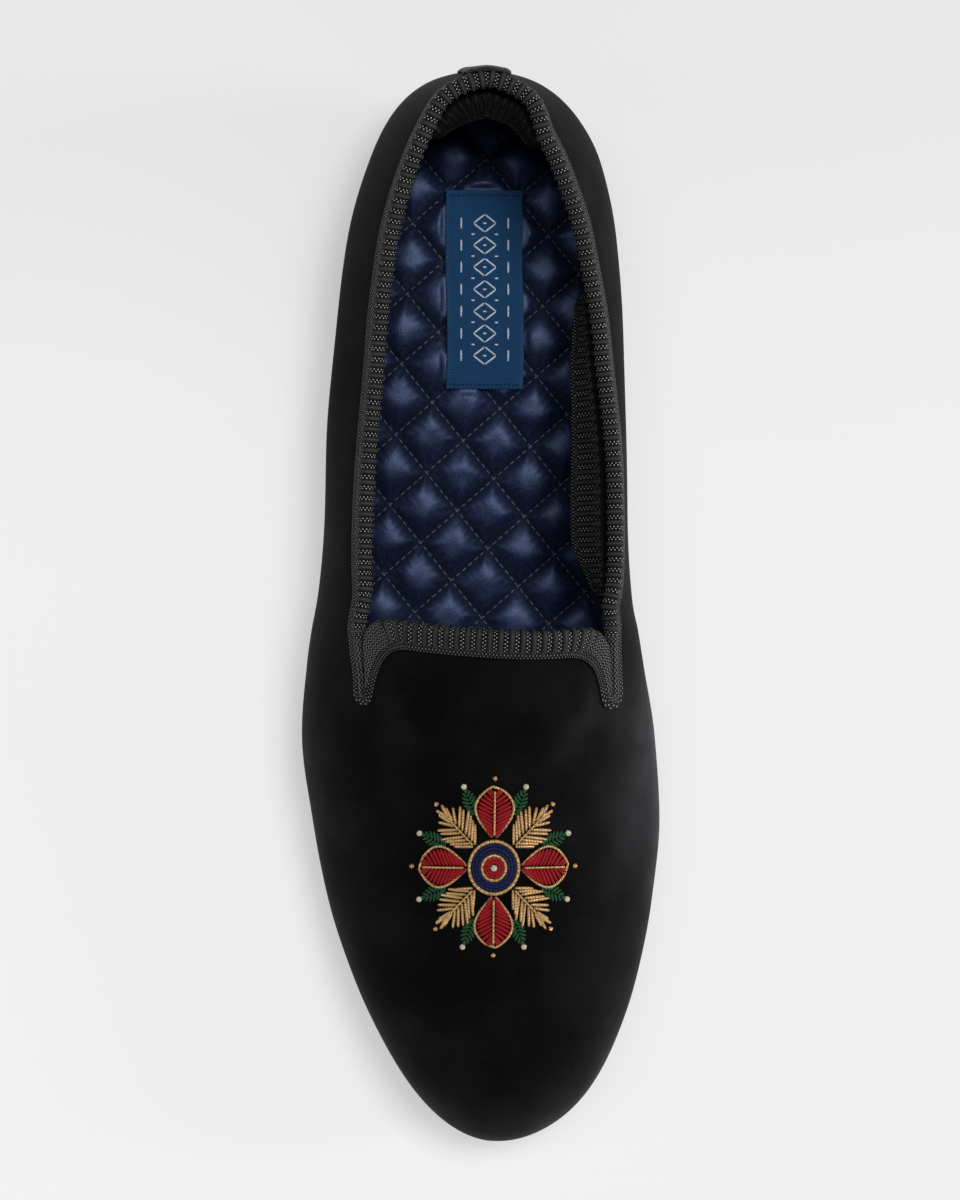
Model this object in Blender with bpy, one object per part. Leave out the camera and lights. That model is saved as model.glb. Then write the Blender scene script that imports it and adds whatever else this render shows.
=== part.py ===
"""A velvet house slipper for the right foot, with a ribbon-bound collar and a quilted insole.

Lengths are in metres. The foot lies along Y with its toe towards -Y, +X is the inner (medial) side and
the sole stands on Z = 0. A station is a distance from the back of the heel towards the toe.
"""

import math

import bmesh
import bpy
import numpy as np
from mathutils import Vector
from mathutils.bvhtree import BVHTree

MM = 0.001

# Driving dimensions of the last
LENGTH = 289 * MM
BALL_WIDTH = 96.5 * MM
INSTEP_HEIGHT = 61 * MM
AXIS_HEEL_X = 0.5 * MM
AXIS_TOE_X = 4.8 * MM

# Make of the shoe
WALL = 1.8 * MM
GAP = 0.3 * MM
SOLE_THICKNESS = 4.5 * MM
SOLE_MARGIN = 2.0 * MM
SOLE_EDGE_ROUND = 0.9 * MM
HEEL_HEIGHT = 10 * MM
HEEL_LENGTH = 64 * MM
HEEL_TAPER = 1.2 * MM
HEEL_BREAST_HOLLOW = 4 * MM
INSOLE_THICKNESS = 5.2 * MM
INSOLE_CLEARANCE = 0.5 * MM
INSOLE_FOOT_INSET = 1.6 * MM

# Collar, throat and slits
THROAT_STATION = 148.7 * MM
THROAT_BOW = 2.5 * MM
THROAT_SKEW = 0.043
THROAT_CORNER_RADIUS = 5.5 * MM
SLIT_TIP_STATION = 168 * MM
SLIT_HALF_GAP = 1.5 * MM

# Ribbon that binds the collar
RIBBON_THICKNESS = 0.7 * MM
RIBBON_GAP = 0.3 * MM
RIBBON_INNER_LEG = 11 * MM
RIBBON_VAMP_LEG = 3.0 * MM
RIBBON_FOLD_EASE = 0.2 * MM
RIBBON_FOLD_ANGLES = (12, 55, 125, 168)

# Trim
STRIP_WIDTH = 13.5 * MM
STRIP_THICKNESS = 0.9 * MM
STRIP_FOOT_LEVEL = 0.3
LABEL_WIDTH = 21 * MM
LABEL_LENGTH = 54 * MM
LABEL_THICKNESS = 0.5 * MM
LABEL_STATION = 57.5 * MM
LABEL_X = 1.4 * MM
MOTIF_STATION = 212 * MM
MOTIF_X = 2.6 * MM
MOTIF_RADIUS_X = 22 * MM
MOTIF_RADIUS_Y = 24.5 * MM
MOTIF_THICKNESS = 1.2 * MM
MOTIF_PETALS = 8

# Cross sections of the upper: station in per cent of LENGTH, half widths and tucks in per cent of
# BALL_WIDTH, heights above the feather edge in per cent of INSTEP_HEIGHT. A tuck is how far the feather
# edge lies inside the widest level, a belly is the height of that level, and the shift moves the ridge
# inwards. Lean is 100 for walls that rise as an ellipse and more for straighter, leaning ones.
SECTION_COLUMNS = (
    "station", "lateral", "medial", "tuck_lateral", "tuck_medial",
    "belly_lateral", "belly_medial", "ridge_lateral", "ridge_medial", "shift", "lean",
)
SECTIONS = (
    (0.0, 0.0, 0.0, 5.2, 5.2, 24, 24, 182, 182, 0.0, 150),
    (1.1, 15.8, 15.8, 5.2, 5.3, 24, 23.6, 156, 149, 0.0, 150),
    (4.0, 25.5, 26.0, 5.2, 5.5, 24, 23, 133, 118, 0.0, 150),
    (8.3, 32.0, 32.7, 5.7, 6.2, 24, 22, 127, 115, 0.0, 150),
    (15.5, 38.4, 36.6, 6.2, 8.0, 23, 23, 115, 114, 0.5, 150),
    (26.0, 42.6, 37.8, 7.3, 11.5, 21, 30, 104, 114, 1.0, 150),
    (38.0, 45.8, 38.5, 8.3, 14.0, 20, 38, 104, 115, 2.0, 130),
    (48.0, 48.2, 39.6, 8.3, 13.0, 19, 36, 100, 106, 2.6, 105),
    (50.0, 49.1, 40.2, 8.2, 12.5, 18.8, 34.2, 101, 101, 2.6, 102),
    (51.5, 50.0, 41.2, 8.0, 11.8, 18.5, 32, 100, 100, 2.6, 100),
    (55.0, 51.6, 43.0, 7.8, 10.4, 18, 28, 96, 96, 2.6, 100),
    (62.0, 53.4, 46.4, 7.3, 8.3, 17, 21, 86, 86, 2.6, 100),
    (69.7, 50.8, 47.7, 6.7, 7.3, 16.5, 18, 75, 75, 2.1, 100),
    (77.2, 46.8, 45.3, 6.2, 6.7, 16, 17, 65.5, 65.5, 1.5, 100),
    (84.8, 39.7, 40.4, 6.2, 6.2, 15.5, 16, 57, 57, 1.0, 100),
    (90.3, 32.3, 34.5, 5.7, 5.7, 15, 15, 50, 50, 0.5, 100),
    (95.2, 23.3, 26.2, 5.2, 5.2, 14, 14, 41, 41, 0.0, 100),
    (100.0, 0.0, 0.0, 5.2, 5.2, 13, 13, 13, 13, 0.0, 100),
)

# Underside of the outsole: station in per cent of LENGTH, height in per cent of HEEL_HEIGHT
SOLE_COLUMNS = ("station", "bottom")
SOLE_PROFILE = (
    (0, 100), (22, 100), (38, 52), (50, 9), (57, 0),
    (71, 0), (81, 17), (91, 52), (100, 95),
)

# Edge of the collar and slits: station and heights above the floor in millimetres
COLLAR_COLUMNS = ("station", "lateral", "medial")
COLLAR = (
    (0, 64.0, 64.0), (20, 61.5, 61.5), (45, 55.0, 55.5), (75, 49.5, 50.5), (105, 47.5, 48.5),
    (130, 48.0, 50.0), (150, 50.0, 52.5), (160, 49.3, 51.0), (168, 48.0, 49.4),
)

# Width of the ribbon on the outside of the shoe at each kind of edge, and where it changes
RIBBON_AT_QUARTER = 4.6 * MM
RIBBON_AT_SLIT = 3.4 * MM
RIBBON_AT_THROAT = 6.0 * MM
RIBBON_NARROWS_FROM = 125 * MM
THROAT_RIBBON_FULL = 0.36

# Mesh density
HEEL_TO_THROAT_STEPS = 27
SLIT_STEPS = 4
TIP_TO_TOE_STEPS = 19
TOE_LAST_TURN = 0.96
WALL_ROWS_BELOW = (0.0, 0.2, 0.4, 0.6, 0.8, 1.0)
WALL_ROWS_ABOVE = (0.36, 0.7, 0.93, 1.0)
VAMP_ROWS = (0.0, 0.01, 0.035, 0.075, 0.13, 0.2, 0.36, 0.56, 0.78, 1.0)
SLIT_END_STEPS = (1.0, 0.5, 0.134, 0.0)

LATERAL = -1
MEDIAL = 1


def hermite(xs, ys):
    """A smooth curve through the points that doesn't overshoot them, as a function."""
    step = np.diff(xs)
    slope = np.diff(ys) / step
    ends = np.concatenate([slope[:1], np.zeros(len(xs) - 2), slope[-1:]])
    same_sign = slope[:-1] * slope[1:] > 0
    before, after = 2 * step[1:] + step[:-1], step[1:] + 2 * step[:-1]
    safe = np.where(same_sign, slope[:-1], 1), np.where(same_sign, slope[1:], 1)
    mean = (before + after) / (before / safe[0] + after / safe[1])
    ends[1:-1] = np.where(same_sign, mean, 0)

    def value(x):
        x = np.clip(np.asarray(x, float), xs[0], xs[-1])
        i = np.clip(np.searchsorted(xs, x, side="right") - 1, 0, len(xs) - 2)
        t = (x - xs[i]) / step[i]
        rise = ys[i] * (1 + 2 * t) * (1 - t) ** 2 + ys[i + 1] * t**2 * (3 - 2 * t)
        bend = step[i] * (ends[i] * t * (1 - t) ** 2 - ends[i + 1] * t**2 * (1 - t))
        return rise + bend

    return value


def column(table, names, name):
    """One named column of a table."""
    return np.array([row[names.index(name)] for row in table], float)


def turn_of(station):
    """A station as a turn from 0 at the heel to 1 at the toe, even in angle so that the ends are round."""
    return np.arccos(np.clip(1 - 2 * np.asarray(station, float) / LENGTH, -1, 1)) / np.pi


def station_of(turn):
    return LENGTH * (1 - np.cos(np.pi * np.asarray(turn, float))) / 2


SECTION_TURNS = turn_of(column(SECTIONS, SECTION_COLUMNS, "station") / 100 * LENGTH)
SECTION = {
    name: hermite(SECTION_TURNS, column(SECTIONS, SECTION_COLUMNS, name) / 100)
    for name in SECTION_COLUMNS[1:]
}
SOLE_BOTTOM = hermite(
    column(SOLE_PROFILE, SOLE_COLUMNS, "station") / 100 * LENGTH,
    column(SOLE_PROFILE, SOLE_COLUMNS, "bottom") / 100 * HEEL_HEIGHT,
)
COLLAR_STATIONS = column(COLLAR, COLLAR_COLUMNS, "station") * MM
COLLAR_HEIGHT = {
    LATERAL: hermite(COLLAR_STATIONS, column(COLLAR, COLLAR_COLUMNS, "lateral") * MM),
    MEDIAL: hermite(COLLAR_STATIONS, column(COLLAR, COLLAR_COLUMNS, "medial") * MM),
}


def side_name(side):
    return "medial" if side > 0 else "lateral"


def section(name, turn):
    """A column of the section table at a turn, as a length."""
    unit = INSTEP_HEIGHT if name.startswith(("ridge", "belly")) else BALL_WIDTH
    return SECTION[name](turn) * unit


def sole_top(station):
    return SOLE_BOTTOM(station) + SOLE_THICKNESS


def axis_x(station):
    """The last's centre line, which swings towards the inner side at the toe."""
    return AXIS_HEEL_X + (AXIS_TOE_X - AXIS_HEEL_X) * np.asarray(station) / LENGTH


def outline(turn, side):
    """Plan position (station, x) of the widest level."""
    station = station_of(turn)
    return np.stack([station, axis_x(station) + side * section(side_name(side), turn)], axis=-1)


def outline_normal(turn, side):
    """Outward direction of the plan outline."""
    small = 1e-6
    ahead = outline(np.clip(turn + small, 0, 1), side)
    back = outline(np.clip(turn - small, 0, 1), side)
    run = ahead - back
    normal = side * np.stack([-run[..., 1], run[..., 0]], axis=-1)
    return normal / np.linalg.norm(normal, axis=-1, keepdims=True)


def feather(turn, side, inset=0.0):
    """Plan position of the lower edge of the upper, or of a line inset from it."""
    tuck = section("tuck_" + side_name(side), turn) + inset
    return outline(turn, side) - outline_normal(turn, side) * tuck[..., None]


def ridge_plan(turn):
    """Plan position of the ridge, which the heel's sections share some way in from the back."""
    heel_reach, heel_end = 36 * MM, 96 * MM
    station = station_of(turn)
    ridge_station = station + heel_reach * np.clip(1 - station / heel_end, 0, 1) ** 2
    return np.stack([ridge_station, axis_x(station) + section("shift", turn)], axis=-1)


def belly_height(turn, side):
    """Height of the widest level above the floor."""
    return sole_top(feather(turn, side)[..., 0]) + GAP + section("belly_" + side_name(side), turn)


def ridge_height(turn, side):
    """Height of the ridge that a side's sections rise to, over the mean of the feather edges."""
    base = [sole_top(feather(turn, each)[..., 0]) for each in (LATERAL, MEDIAL)]
    return (base[0] + base[1]) / 2 + GAP + section("ridge_" + side_name(side), turn)


def wall_point(turn, side, level):
    """A point of the upper's outer face. Level 0 is the feather edge, 1 the widest level, 2 the ridge."""
    turn, level = np.broadcast_arrays(np.asarray(turn, float), np.asarray(level, float))
    low = np.clip(level, 0, 1) * np.pi / 2
    high = np.clip(level - 1, 0, 1) * np.pi / 2
    tuck = section("tuck_" + side_name(side), turn)
    belly = section("belly_" + side_name(side), turn)
    widest = outline(turn, side)
    under = widest - outline_normal(turn, side) * (tuck * (1 - np.sin(low)))[..., None]
    ridge = ridge_plan(turn)
    lean = SECTION["lean"](turn)
    above = ridge + (widest - ridge) * (np.maximum(np.cos(high), 0) ** lean)[..., None]
    plan = np.where((level > 1)[..., None], above, under)
    top = belly_height(turn, side)
    height = top - belly * np.cos(low) + (ridge_height(turn, side) - top) * np.sin(high) ** lean
    return np.stack([plan[..., 1], -plan[..., 0], height], axis=-1)


def wall_normal(turn, side, level):
    """Outward direction of the upper's outer face."""
    small = 1e-4
    along = wall_point(np.clip(turn + small, 0, 1), side, level)
    along = along - wall_point(np.clip(turn - small, 0, 1), side, level)
    up = wall_point(turn, side, level + small) - wall_point(turn, side, level - small)
    normal = side * np.cross(up, along)
    return normal / np.linalg.norm(normal, axis=-1, keepdims=True)


def level_at_height(turn, side, height):
    """The level of the upper arc that has this height above the floor."""
    low, high = belly_height(turn, side), ridge_height(turn, side)
    share = np.clip((height - low) / (high - low), 0, 1) ** (1 / SECTION["lean"](turn))
    return 1 + np.arcsin(share) * 2 / np.pi


def level_step(turn, side, level, distance):
    """How far the level changes over a distance along the section."""
    small = 1e-3
    run = wall_point(turn, side, level + small) - wall_point(turn, side, level - small)
    return distance * 2 * small / np.linalg.norm(run, axis=-1)


def collar_level(station, side):
    """Level of the line that the collar's edge and the middle of the slit follow."""
    turn = turn_of(np.minimum(station, SLIT_TIP_STATION))
    return level_at_height(turn, side, COLLAR_HEIGHT[side](station))


def slit_slant(side):
    """How far the slit runs across the sections for each step along the foot."""
    stations = np.array([SLIT_TIP_STATION - SLIT_HALF_GAP, SLIT_TIP_STATION])
    levels = collar_level(stations, side)
    ends = wall_point(turn_of(stations), side, levels)
    across = wall_point(turn_of(stations[1]), side, levels[1] + 1e-3) - ends[1]
    return np.dot(ends[1] - ends[0], across) / np.linalg.norm(across) / SLIT_HALF_GAP


def edge_level(station, side, part):
    """Level of the opening's edge: part -1 is the quarter's edge, +1 the vamp's edge of the slit.

    The slit is SLIT_HALF_GAP wide to each side and ends in a half circle at its tip.
    """
    level = collar_level(station, side)
    past = np.clip(station - SLIT_TIP_STATION + SLIT_HALF_GAP, 0, SLIT_HALF_GAP)
    half_gap = np.sqrt(SLIT_HALF_GAP**2 - past**2)
    in_slit = np.clip((station - THROAT_STATION + 4 * SLIT_HALF_GAP) / (4 * SLIT_HALF_GAP), 0, 1)
    side_shift = half_gap * (part if part > 0 else -in_slit) - slit_slant(side) * past
    return level + level_step(turn_of(np.minimum(station, SLIT_TIP_STATION)), side, level, side_shift)


def throat_station(side, across):
    """Station of the throat's edge at a share of the way from the slit, 0, to the ridge, 1."""
    turn = turn_of(THROAT_STATION)
    level = edge_level(THROAT_STATION, side, 1)
    arc = wall_point(turn, side, level + (2 - level) * np.asarray(across, float))
    slit = wall_point(turn, side, level)
    corner = np.clip(1 - np.linalg.norm(arc - slit, axis=-1) / THROAT_CORNER_RADIUS, 0, 1)
    rounding = THROAT_CORNER_RADIUS * (1 - np.sqrt(1 - corner**2))
    bow = THROAT_BOW * np.sin(np.asarray(across) * np.pi / 2)
    return THROAT_STATION + bow + THROAT_SKEW * arc[..., 0] + rounding


def new_object(name, mesh, material, parent):
    """Puts a mesh into the scene as one named part."""
    mesh.materials.append(material)
    mesh.shade_smooth()
    mesh.set_sharp_from_angle(angle=math.radians(40))
    obj = bpy.data.objects.new(name, mesh)
    bpy.context.scene.collection.objects.link(obj)
    obj.parent = parent
    return obj


def mesh_from(name, bm):
    """Merges shared points, drops faces that closed up and makes a mesh."""
    bmesh.ops.remove_doubles(bm, verts=bm.verts, dist=1e-6)
    bmesh.ops.dissolve_degenerate(bm, edges=bm.edges, dist=1e-6)
    mesh = bpy.data.meshes.new(name)
    bm.to_mesh(mesh)
    bm.free()
    return mesh


def add_grid(bm, points, turned=False):
    """Adds quads between the rows and columns of an array of points."""
    verts = [[bm.verts.new(point) for point in row] for row in points]
    for i in range(len(verts) - 1):
        for j in range(len(verts[i]) - 1):
            corners = [verts[i][j], verts[i + 1][j], verts[i + 1][j + 1], verts[i][j + 1]]
            bm.faces.new(corners[::-1] if turned else corners)


def ring_solid(name, rings, closed_path):
    """A solid from rings of points joined in order, with flat ends unless the path is closed."""
    bm = bmesh.new()
    loops = [[bm.verts.new(point) for point in ring] for ring in rings]
    pairs = list(zip(loops, loops[1:] + loops[:1])) if closed_path else list(zip(loops, loops[1:]))
    for first, second in pairs:
        for k in range(len(first)):
            after = (k + 1) % len(first)
            bm.faces.new([first[k], first[after], second[after], second[k]])
    if not closed_path:
        bm.faces.new(loops[0][::-1])
        bm.faces.new(loops[-1])
    bmesh.ops.recalc_face_normals(bm, faces=bm.faces)
    return mesh_from(name, bm)


def material(name, colour, roughness, metallic=0.0):
    made = bpy.data.materials.new(name)
    made.use_nodes = True
    shader = made.node_tree.nodes["Principled BSDF"]
    shader.inputs["Base Color"].default_value = (*colour, 1)
    shader.inputs["Roughness"].default_value = roughness
    shader.inputs["Metallic"].default_value = metallic
    return made


def slit_end_stations():
    return SLIT_TIP_STATION - SLIT_HALF_GAP * np.array(SLIT_END_STEPS)


def toe_stations():
    """Stations past the slits, shared by the wall and the vamp."""
    turns = np.linspace(turn_of(SLIT_TIP_STATION), TOE_LAST_TURN, TIP_TO_TOE_STEPS)[1:]
    return station_of(np.append(turns, 1))


def quarter_stations():
    """Stations from the heel to the tips of the slits."""
    heel_part = station_of(np.linspace(0, turn_of(THROAT_STATION), HEEL_TO_THROAT_STEPS + 1))
    slit_part = np.linspace(THROAT_STATION, slit_end_stations()[0], SLIT_STEPS + 1)[1:-1]
    return np.concatenate([heel_part, slit_part, slit_end_stations()])


def vamp_start_stations(side, across):
    """Stations along one row of the vamp, from the throat's edge to the tip of the slit."""
    start = throat_station(side, across)
    return np.concatenate([[start, (start + slit_end_stations()[0]) / 2], slit_end_stations()])


def upper_face(bm, side):
    """One side of the upper's outer face: the wall up to the collar, then the vamp up to the ridge."""
    stations = np.concatenate([quarter_stations(), toe_stations()])
    edge = edge_level(stations, side, -1)
    below = np.ones((len(stations), 1)) * WALL_ROWS_BELOW
    above = 1 + (edge[:, None] - 1) * WALL_ROWS_ABOVE
    wall = wall_point(turn_of(stations)[:, None], side, np.hstack([below, above]))
    add_grid(bm, wall, turned=side > 0)
    rows = []
    for across in VAMP_ROWS:
        stations = np.concatenate([vamp_start_stations(side, across), toe_stations()])
        edge = edge_level(stations, side, 1)
        rows.append(wall_point(turn_of(stations), side, edge + (2 - edge) * across))
    add_grid(bm, np.array(rows), turned=side < 0)


def make_upper(finish, parent):
    bm = bmesh.new()
    for side in (LATERAL, MEDIAL):
        upper_face(bm, side)
    obj = new_object("upper", mesh_from("upper", bm), finish, parent)
    shell = obj.modifiers.new("wall", "SOLIDIFY")
    shell.thickness = WALL
    shell.offset = -1
    return obj


def opening_path():
    """Points (turn, side, level, outer leg, inner leg) round the opening, from the heel by the inner side."""
    halves = {}
    narrowing_run = THROAT_STATION - RIBBON_NARROWS_FROM
    for side in (MEDIAL, LATERAL):
        points = []
        for station in quarter_stations():
            narrowing = np.clip((station - RIBBON_NARROWS_FROM) / narrowing_run, 0, 1)
            outer = RIBBON_AT_QUARTER + (RIBBON_AT_SLIT - RIBBON_AT_QUARTER) * narrowing
            inner = RIBBON_INNER_LEG + (RIBBON_VAMP_LEG - RIBBON_INNER_LEG) * narrowing
            points.append((station, edge_level(station, side, -1), outer, inner))
        for station in vamp_start_stations(side, 0.0)[-2:0:-1]:
            points.append((station, edge_level(station, side, 1), RIBBON_AT_SLIT, RIBBON_VAMP_LEG))
        for across in VAMP_ROWS:
            station = throat_station(side, across)
            edge = edge_level(station, side, 1)
            grown = np.clip(across / THROAT_RIBBON_FULL, 0, 1)
            outer = RIBBON_AT_SLIT + (RIBBON_AT_THROAT - RIBBON_AT_SLIT) * grown
            points.append((station, edge + (2 - edge) * across, outer, RIBBON_VAMP_LEG))
        halves[side] = [(float(turn_of(s)), side, float(level), *legs) for s, level, *legs in points]
    return halves[MEDIAL] + halves[LATERAL][-2:0:-1]


class Surface:
    """Nearest points on the solid of a part."""

    def __init__(self, obj):
        bpy.context.view_layer.update()
        self.tree = BVHTree.FromObject(obj, bpy.context.evaluated_depsgraph_get())

    def lifted(self, guess, height):
        """The point at a height over the solid's face that is nearest to a guess."""
        place, normal, _, _ = self.tree.find_nearest(Vector(guess))
        return place + normal * height

    def walk(self, start, heading, length, steps=4):
        """Places and normals halfway and at the end of a straight walk over the solid's face."""
        place, heading = Vector(start), Vector(heading)
        stops = []
        for _ in range(steps):
            place, normal, _, _ = self.tree.find_nearest(place + heading * (length / steps))
            heading = (heading - normal * heading.dot(normal)).normalized()
            stops.append((place, normal))
        return stops[steps // 2 - 1], stops[-1]


def opening_frames(path):
    """Edge point, outward normal and direction into the cloth for each point of the opening's path."""
    edge = np.array([wall_point(turn, side, level) for turn, side, level, *_ in path])
    normal = np.array([wall_normal(turn, side, level) for turn, side, level, *_ in path])
    along = np.roll(edge, -1, axis=0) - np.roll(edge, 1, axis=0)
    along /= np.linalg.norm(along, axis=1, keepdims=True)
    inward = np.cross(normal, along)
    return edge, normal, inward / np.linalg.norm(inward, axis=1, keepdims=True)


def make_binding(upper, finish, parent):
    """The ribbon folded over the edge: an outer leg, a round fold and an inner leg."""
    surface = Surface(upper)
    path = opening_path()
    rings = []
    for (*_, outer_leg, inner_leg), edge, normal, inward in zip(path, *opening_frames(path)):
        middle = edge - normal * WALL / 2

        def fold(rise):
            across = normal * (WALL / 2 + rise)
            over = inward * (rise + RIBBON_FOLD_EASE)
            return [
                middle + across * math.cos(angle) - over * math.sin(angle)
                for angle in np.radians(RIBBON_FOLD_ANGLES)
            ]

        near, far = RIBBON_GAP, RIBBON_GAP + RIBBON_THICKNESS
        outside = surface.walk(edge, inward, outer_leg)
        inside = surface.walk(edge - normal * WALL, inward, inner_leg)
        rings.append(
            [place + up * far for place, up in outside[::-1]] + fold(far)
            + [place + up * far for place, up in inside]
            + [place + up * near for place, up in inside[::-1]] + fold(near)[::-1]
            + [place + up * near for place, up in outside]
        )
    return new_object("collar_binding", ring_solid("collar_binding", rings, True), finish, parent)


def heel_turn(distance):
    """The turn at which the heel's outline lies at a distance from the centre line."""
    turns = np.linspace(0, 0.2, 200)
    return float(np.interp(distance, section("lateral", turns), turns))


def make_back_strip(finish, parent):
    """A strip over the back seam, from near the sole up over the ribbon to the top of its fold."""
    columns = [(heel_turn(abs(x)), MEDIAL if x > 0 else LATERAL)
               for x in np.linspace(-STRIP_WIDTH / 2, STRIP_WIDTH / 2, 7)]
    edge = float(edge_level(0.0, MEDIAL, -1))
    top = edge + float(level_step(0.0, MEDIAL, edge, RIBBON_GAP + RIBBON_THICKNESS))
    edge_height = wall_point(0.0, MEDIAL, edge)[2]
    over_ribbon = GAP + RIBBON_GAP + RIBBON_THICKNESS
    rings = []
    for level in np.concatenate([np.linspace(STRIP_FOOT_LEVEL, 1, 6), np.linspace(1, top, 10)[1:]]):
        below_edge = edge_height - wall_point(0.0, MEDIAL, level)[2]
        ramp = np.clip((RIBBON_AT_QUARTER + 4 * MM - below_edge) / (3 * MM), 0, 1)
        lift = GAP + (over_ribbon - GAP) * ramp
        face = [(wall_point(turn, side, level), wall_normal(turn, side, level)) for turn, side in columns]
        outer = [place + normal * (lift + STRIP_THICKNESS) for place, normal in face]
        inner = [place + normal * lift for place, normal in face]
        rings.append(outer + inner[::-1])
    return new_object("back_strip", ring_solid("back_strip", rings, False), finish, parent)


def plan_loop(point_of, count):
    """Closed loop of (station, x) round the foot, along the inner side first."""
    turns = np.linspace(0, 1, count)
    medial = [point_of(turn, MEDIAL) for turn in turns]
    lateral = [point_of(turn, LATERAL) for turn in turns[-2:0:-1]]
    return np.array(medial + lateral)


def slab(name, loops):
    """A solid from stacked loops of points round the foot, with its ends closed across the foot."""
    bm = bmesh.new()
    rings = [[bm.verts.new(point) for point in loop] for loop in loops]
    count = len(rings[0])
    for low, high in zip(rings, rings[1:]):
        for k in range(count):
            after = (k + 1) % count
            bm.faces.new([low[k], low[after], high[after], high[k]])
    for ring in (rings[0], rings[-1]):
        for k in range(count // 2):
            corners = [ring[k], ring[k + 1], ring[-k - 1], ring[-k]] if k else [ring[0], ring[1], ring[-1]]
            bm.faces.new(list(dict.fromkeys(corners)))
    bmesh.ops.recalc_face_normals(bm, faces=bm.faces)
    return mesh_from(name, bm)


def make_outsole(finish, parent):
    """A sole of even thickness that follows the last's underside, with a rounded edge."""
    levels = (
        (-SOLE_EDGE_ROUND, 0.0), (0.0, SOLE_EDGE_ROUND),
        (0.0, SOLE_THICKNESS - SOLE_EDGE_ROUND / 2), (-SOLE_EDGE_ROUND / 2, SOLE_THICKNESS),
    )
    loops = []
    for grow, rise in levels:
        plan = plan_loop(lambda turn, side: feather(turn, side, -SOLE_MARGIN - grow), 45)
        loops.append([(x, -s, SOLE_BOTTOM(s) + rise) for s, x in plan])
    return new_object("outsole", slab("outsole", loops), finish, parent)


def make_heel(finish, parent):
    """A low heel block under the back of the sole, tapered a little, with a hollow breast."""
    back = np.linspace(0, turn_of(HEEL_LENGTH), 15)
    levels = ((HEEL_TAPER, 0.0), (0.0, HEEL_HEIGHT - GAP))
    loops = []
    for inset, height in levels:
        rim = SOLE_EDGE_ROUND - SOLE_MARGIN + inset
        medial = [feather(turn, MEDIAL, rim) for turn in back]
        lateral = [feather(turn, LATERAL, rim) for turn in back[:0:-1]]
        first, last = medial[-1], lateral[0]
        breast = []
        for share in np.linspace(0, 1, 9)[1:-1]:
            point = first + (last - first) * share
            hollow = HEEL_BREAST_HOLLOW * math.sin(math.pi * share) + inset / 2
            breast.append(point - np.array([hollow, 0]))
        loops.append([(x, -s, height) for s, x in medial + breast + lateral])
    return new_object("heel", ring_solid("heel", loops, False), finish, parent)


def insole_edge(turn, side):
    """Edge of the pad at its foot, over the turned-in cloth and at its top, clear of the wall inside."""
    station, x = feather(turn, side, INSOLE_FOOT_INSET)
    base = sole_top(station) + GAP
    foot = (x, -station, base)
    shoulder = (x, -station, base + WALL)
    levels = np.linspace(0.02, 0.9, 60)
    turns = np.full_like(levels, turn)
    inside = wall_point(turns, side, levels) - wall_normal(turns, side, levels) * (WALL + INSOLE_CLEARANCE)
    top = [np.interp(base + INSOLE_THICKNESS, inside[:, 2], inside[:, axis]) for axis in range(2)]
    return foot, shoulder, (*top, base + INSOLE_THICKNESS)


def make_insole(finish, parent):
    """A pad between the walls."""
    turns = np.linspace(0, 1, 41)
    edges = [insole_edge(turn, MEDIAL) for turn in turns]
    edges += [insole_edge(turn, LATERAL) for turn in turns[-2:0:-1]]
    return new_object("insole", slab("insole", list(zip(*edges))), finish, parent)


def make_label(insole, finish, parent):
    """A thin woven label that lies on the insole near the heel."""
    surface = Surface(insole)
    rings = []
    for station in LABEL_STATION + LABEL_LENGTH * np.linspace(-0.5, 0.5, 7):
        above = sole_top(station) + INSOLE_THICKNESS + 2 * GAP
        ends = [(LABEL_X + LABEL_WIDTH * share, -station, above) for share in (-0.5, 0.5)]
        low = [surface.lifted(end, GAP) for end in ends]
        high = [surface.lifted(end, GAP + LABEL_THICKNESS) for end in ends]
        rings.append(low + high[::-1])
    return new_object("insole_label", ring_solid("insole_label", rings, False), finish, parent)


def motif_radius(angle):
    """Outline of the embroidered rosette as a share of its size: rounded petals with notches between them."""
    petal = abs(math.cos(MOTIF_PETALS * angle / 2))
    return 0.78 + 0.22 * petal**0.7


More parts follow.
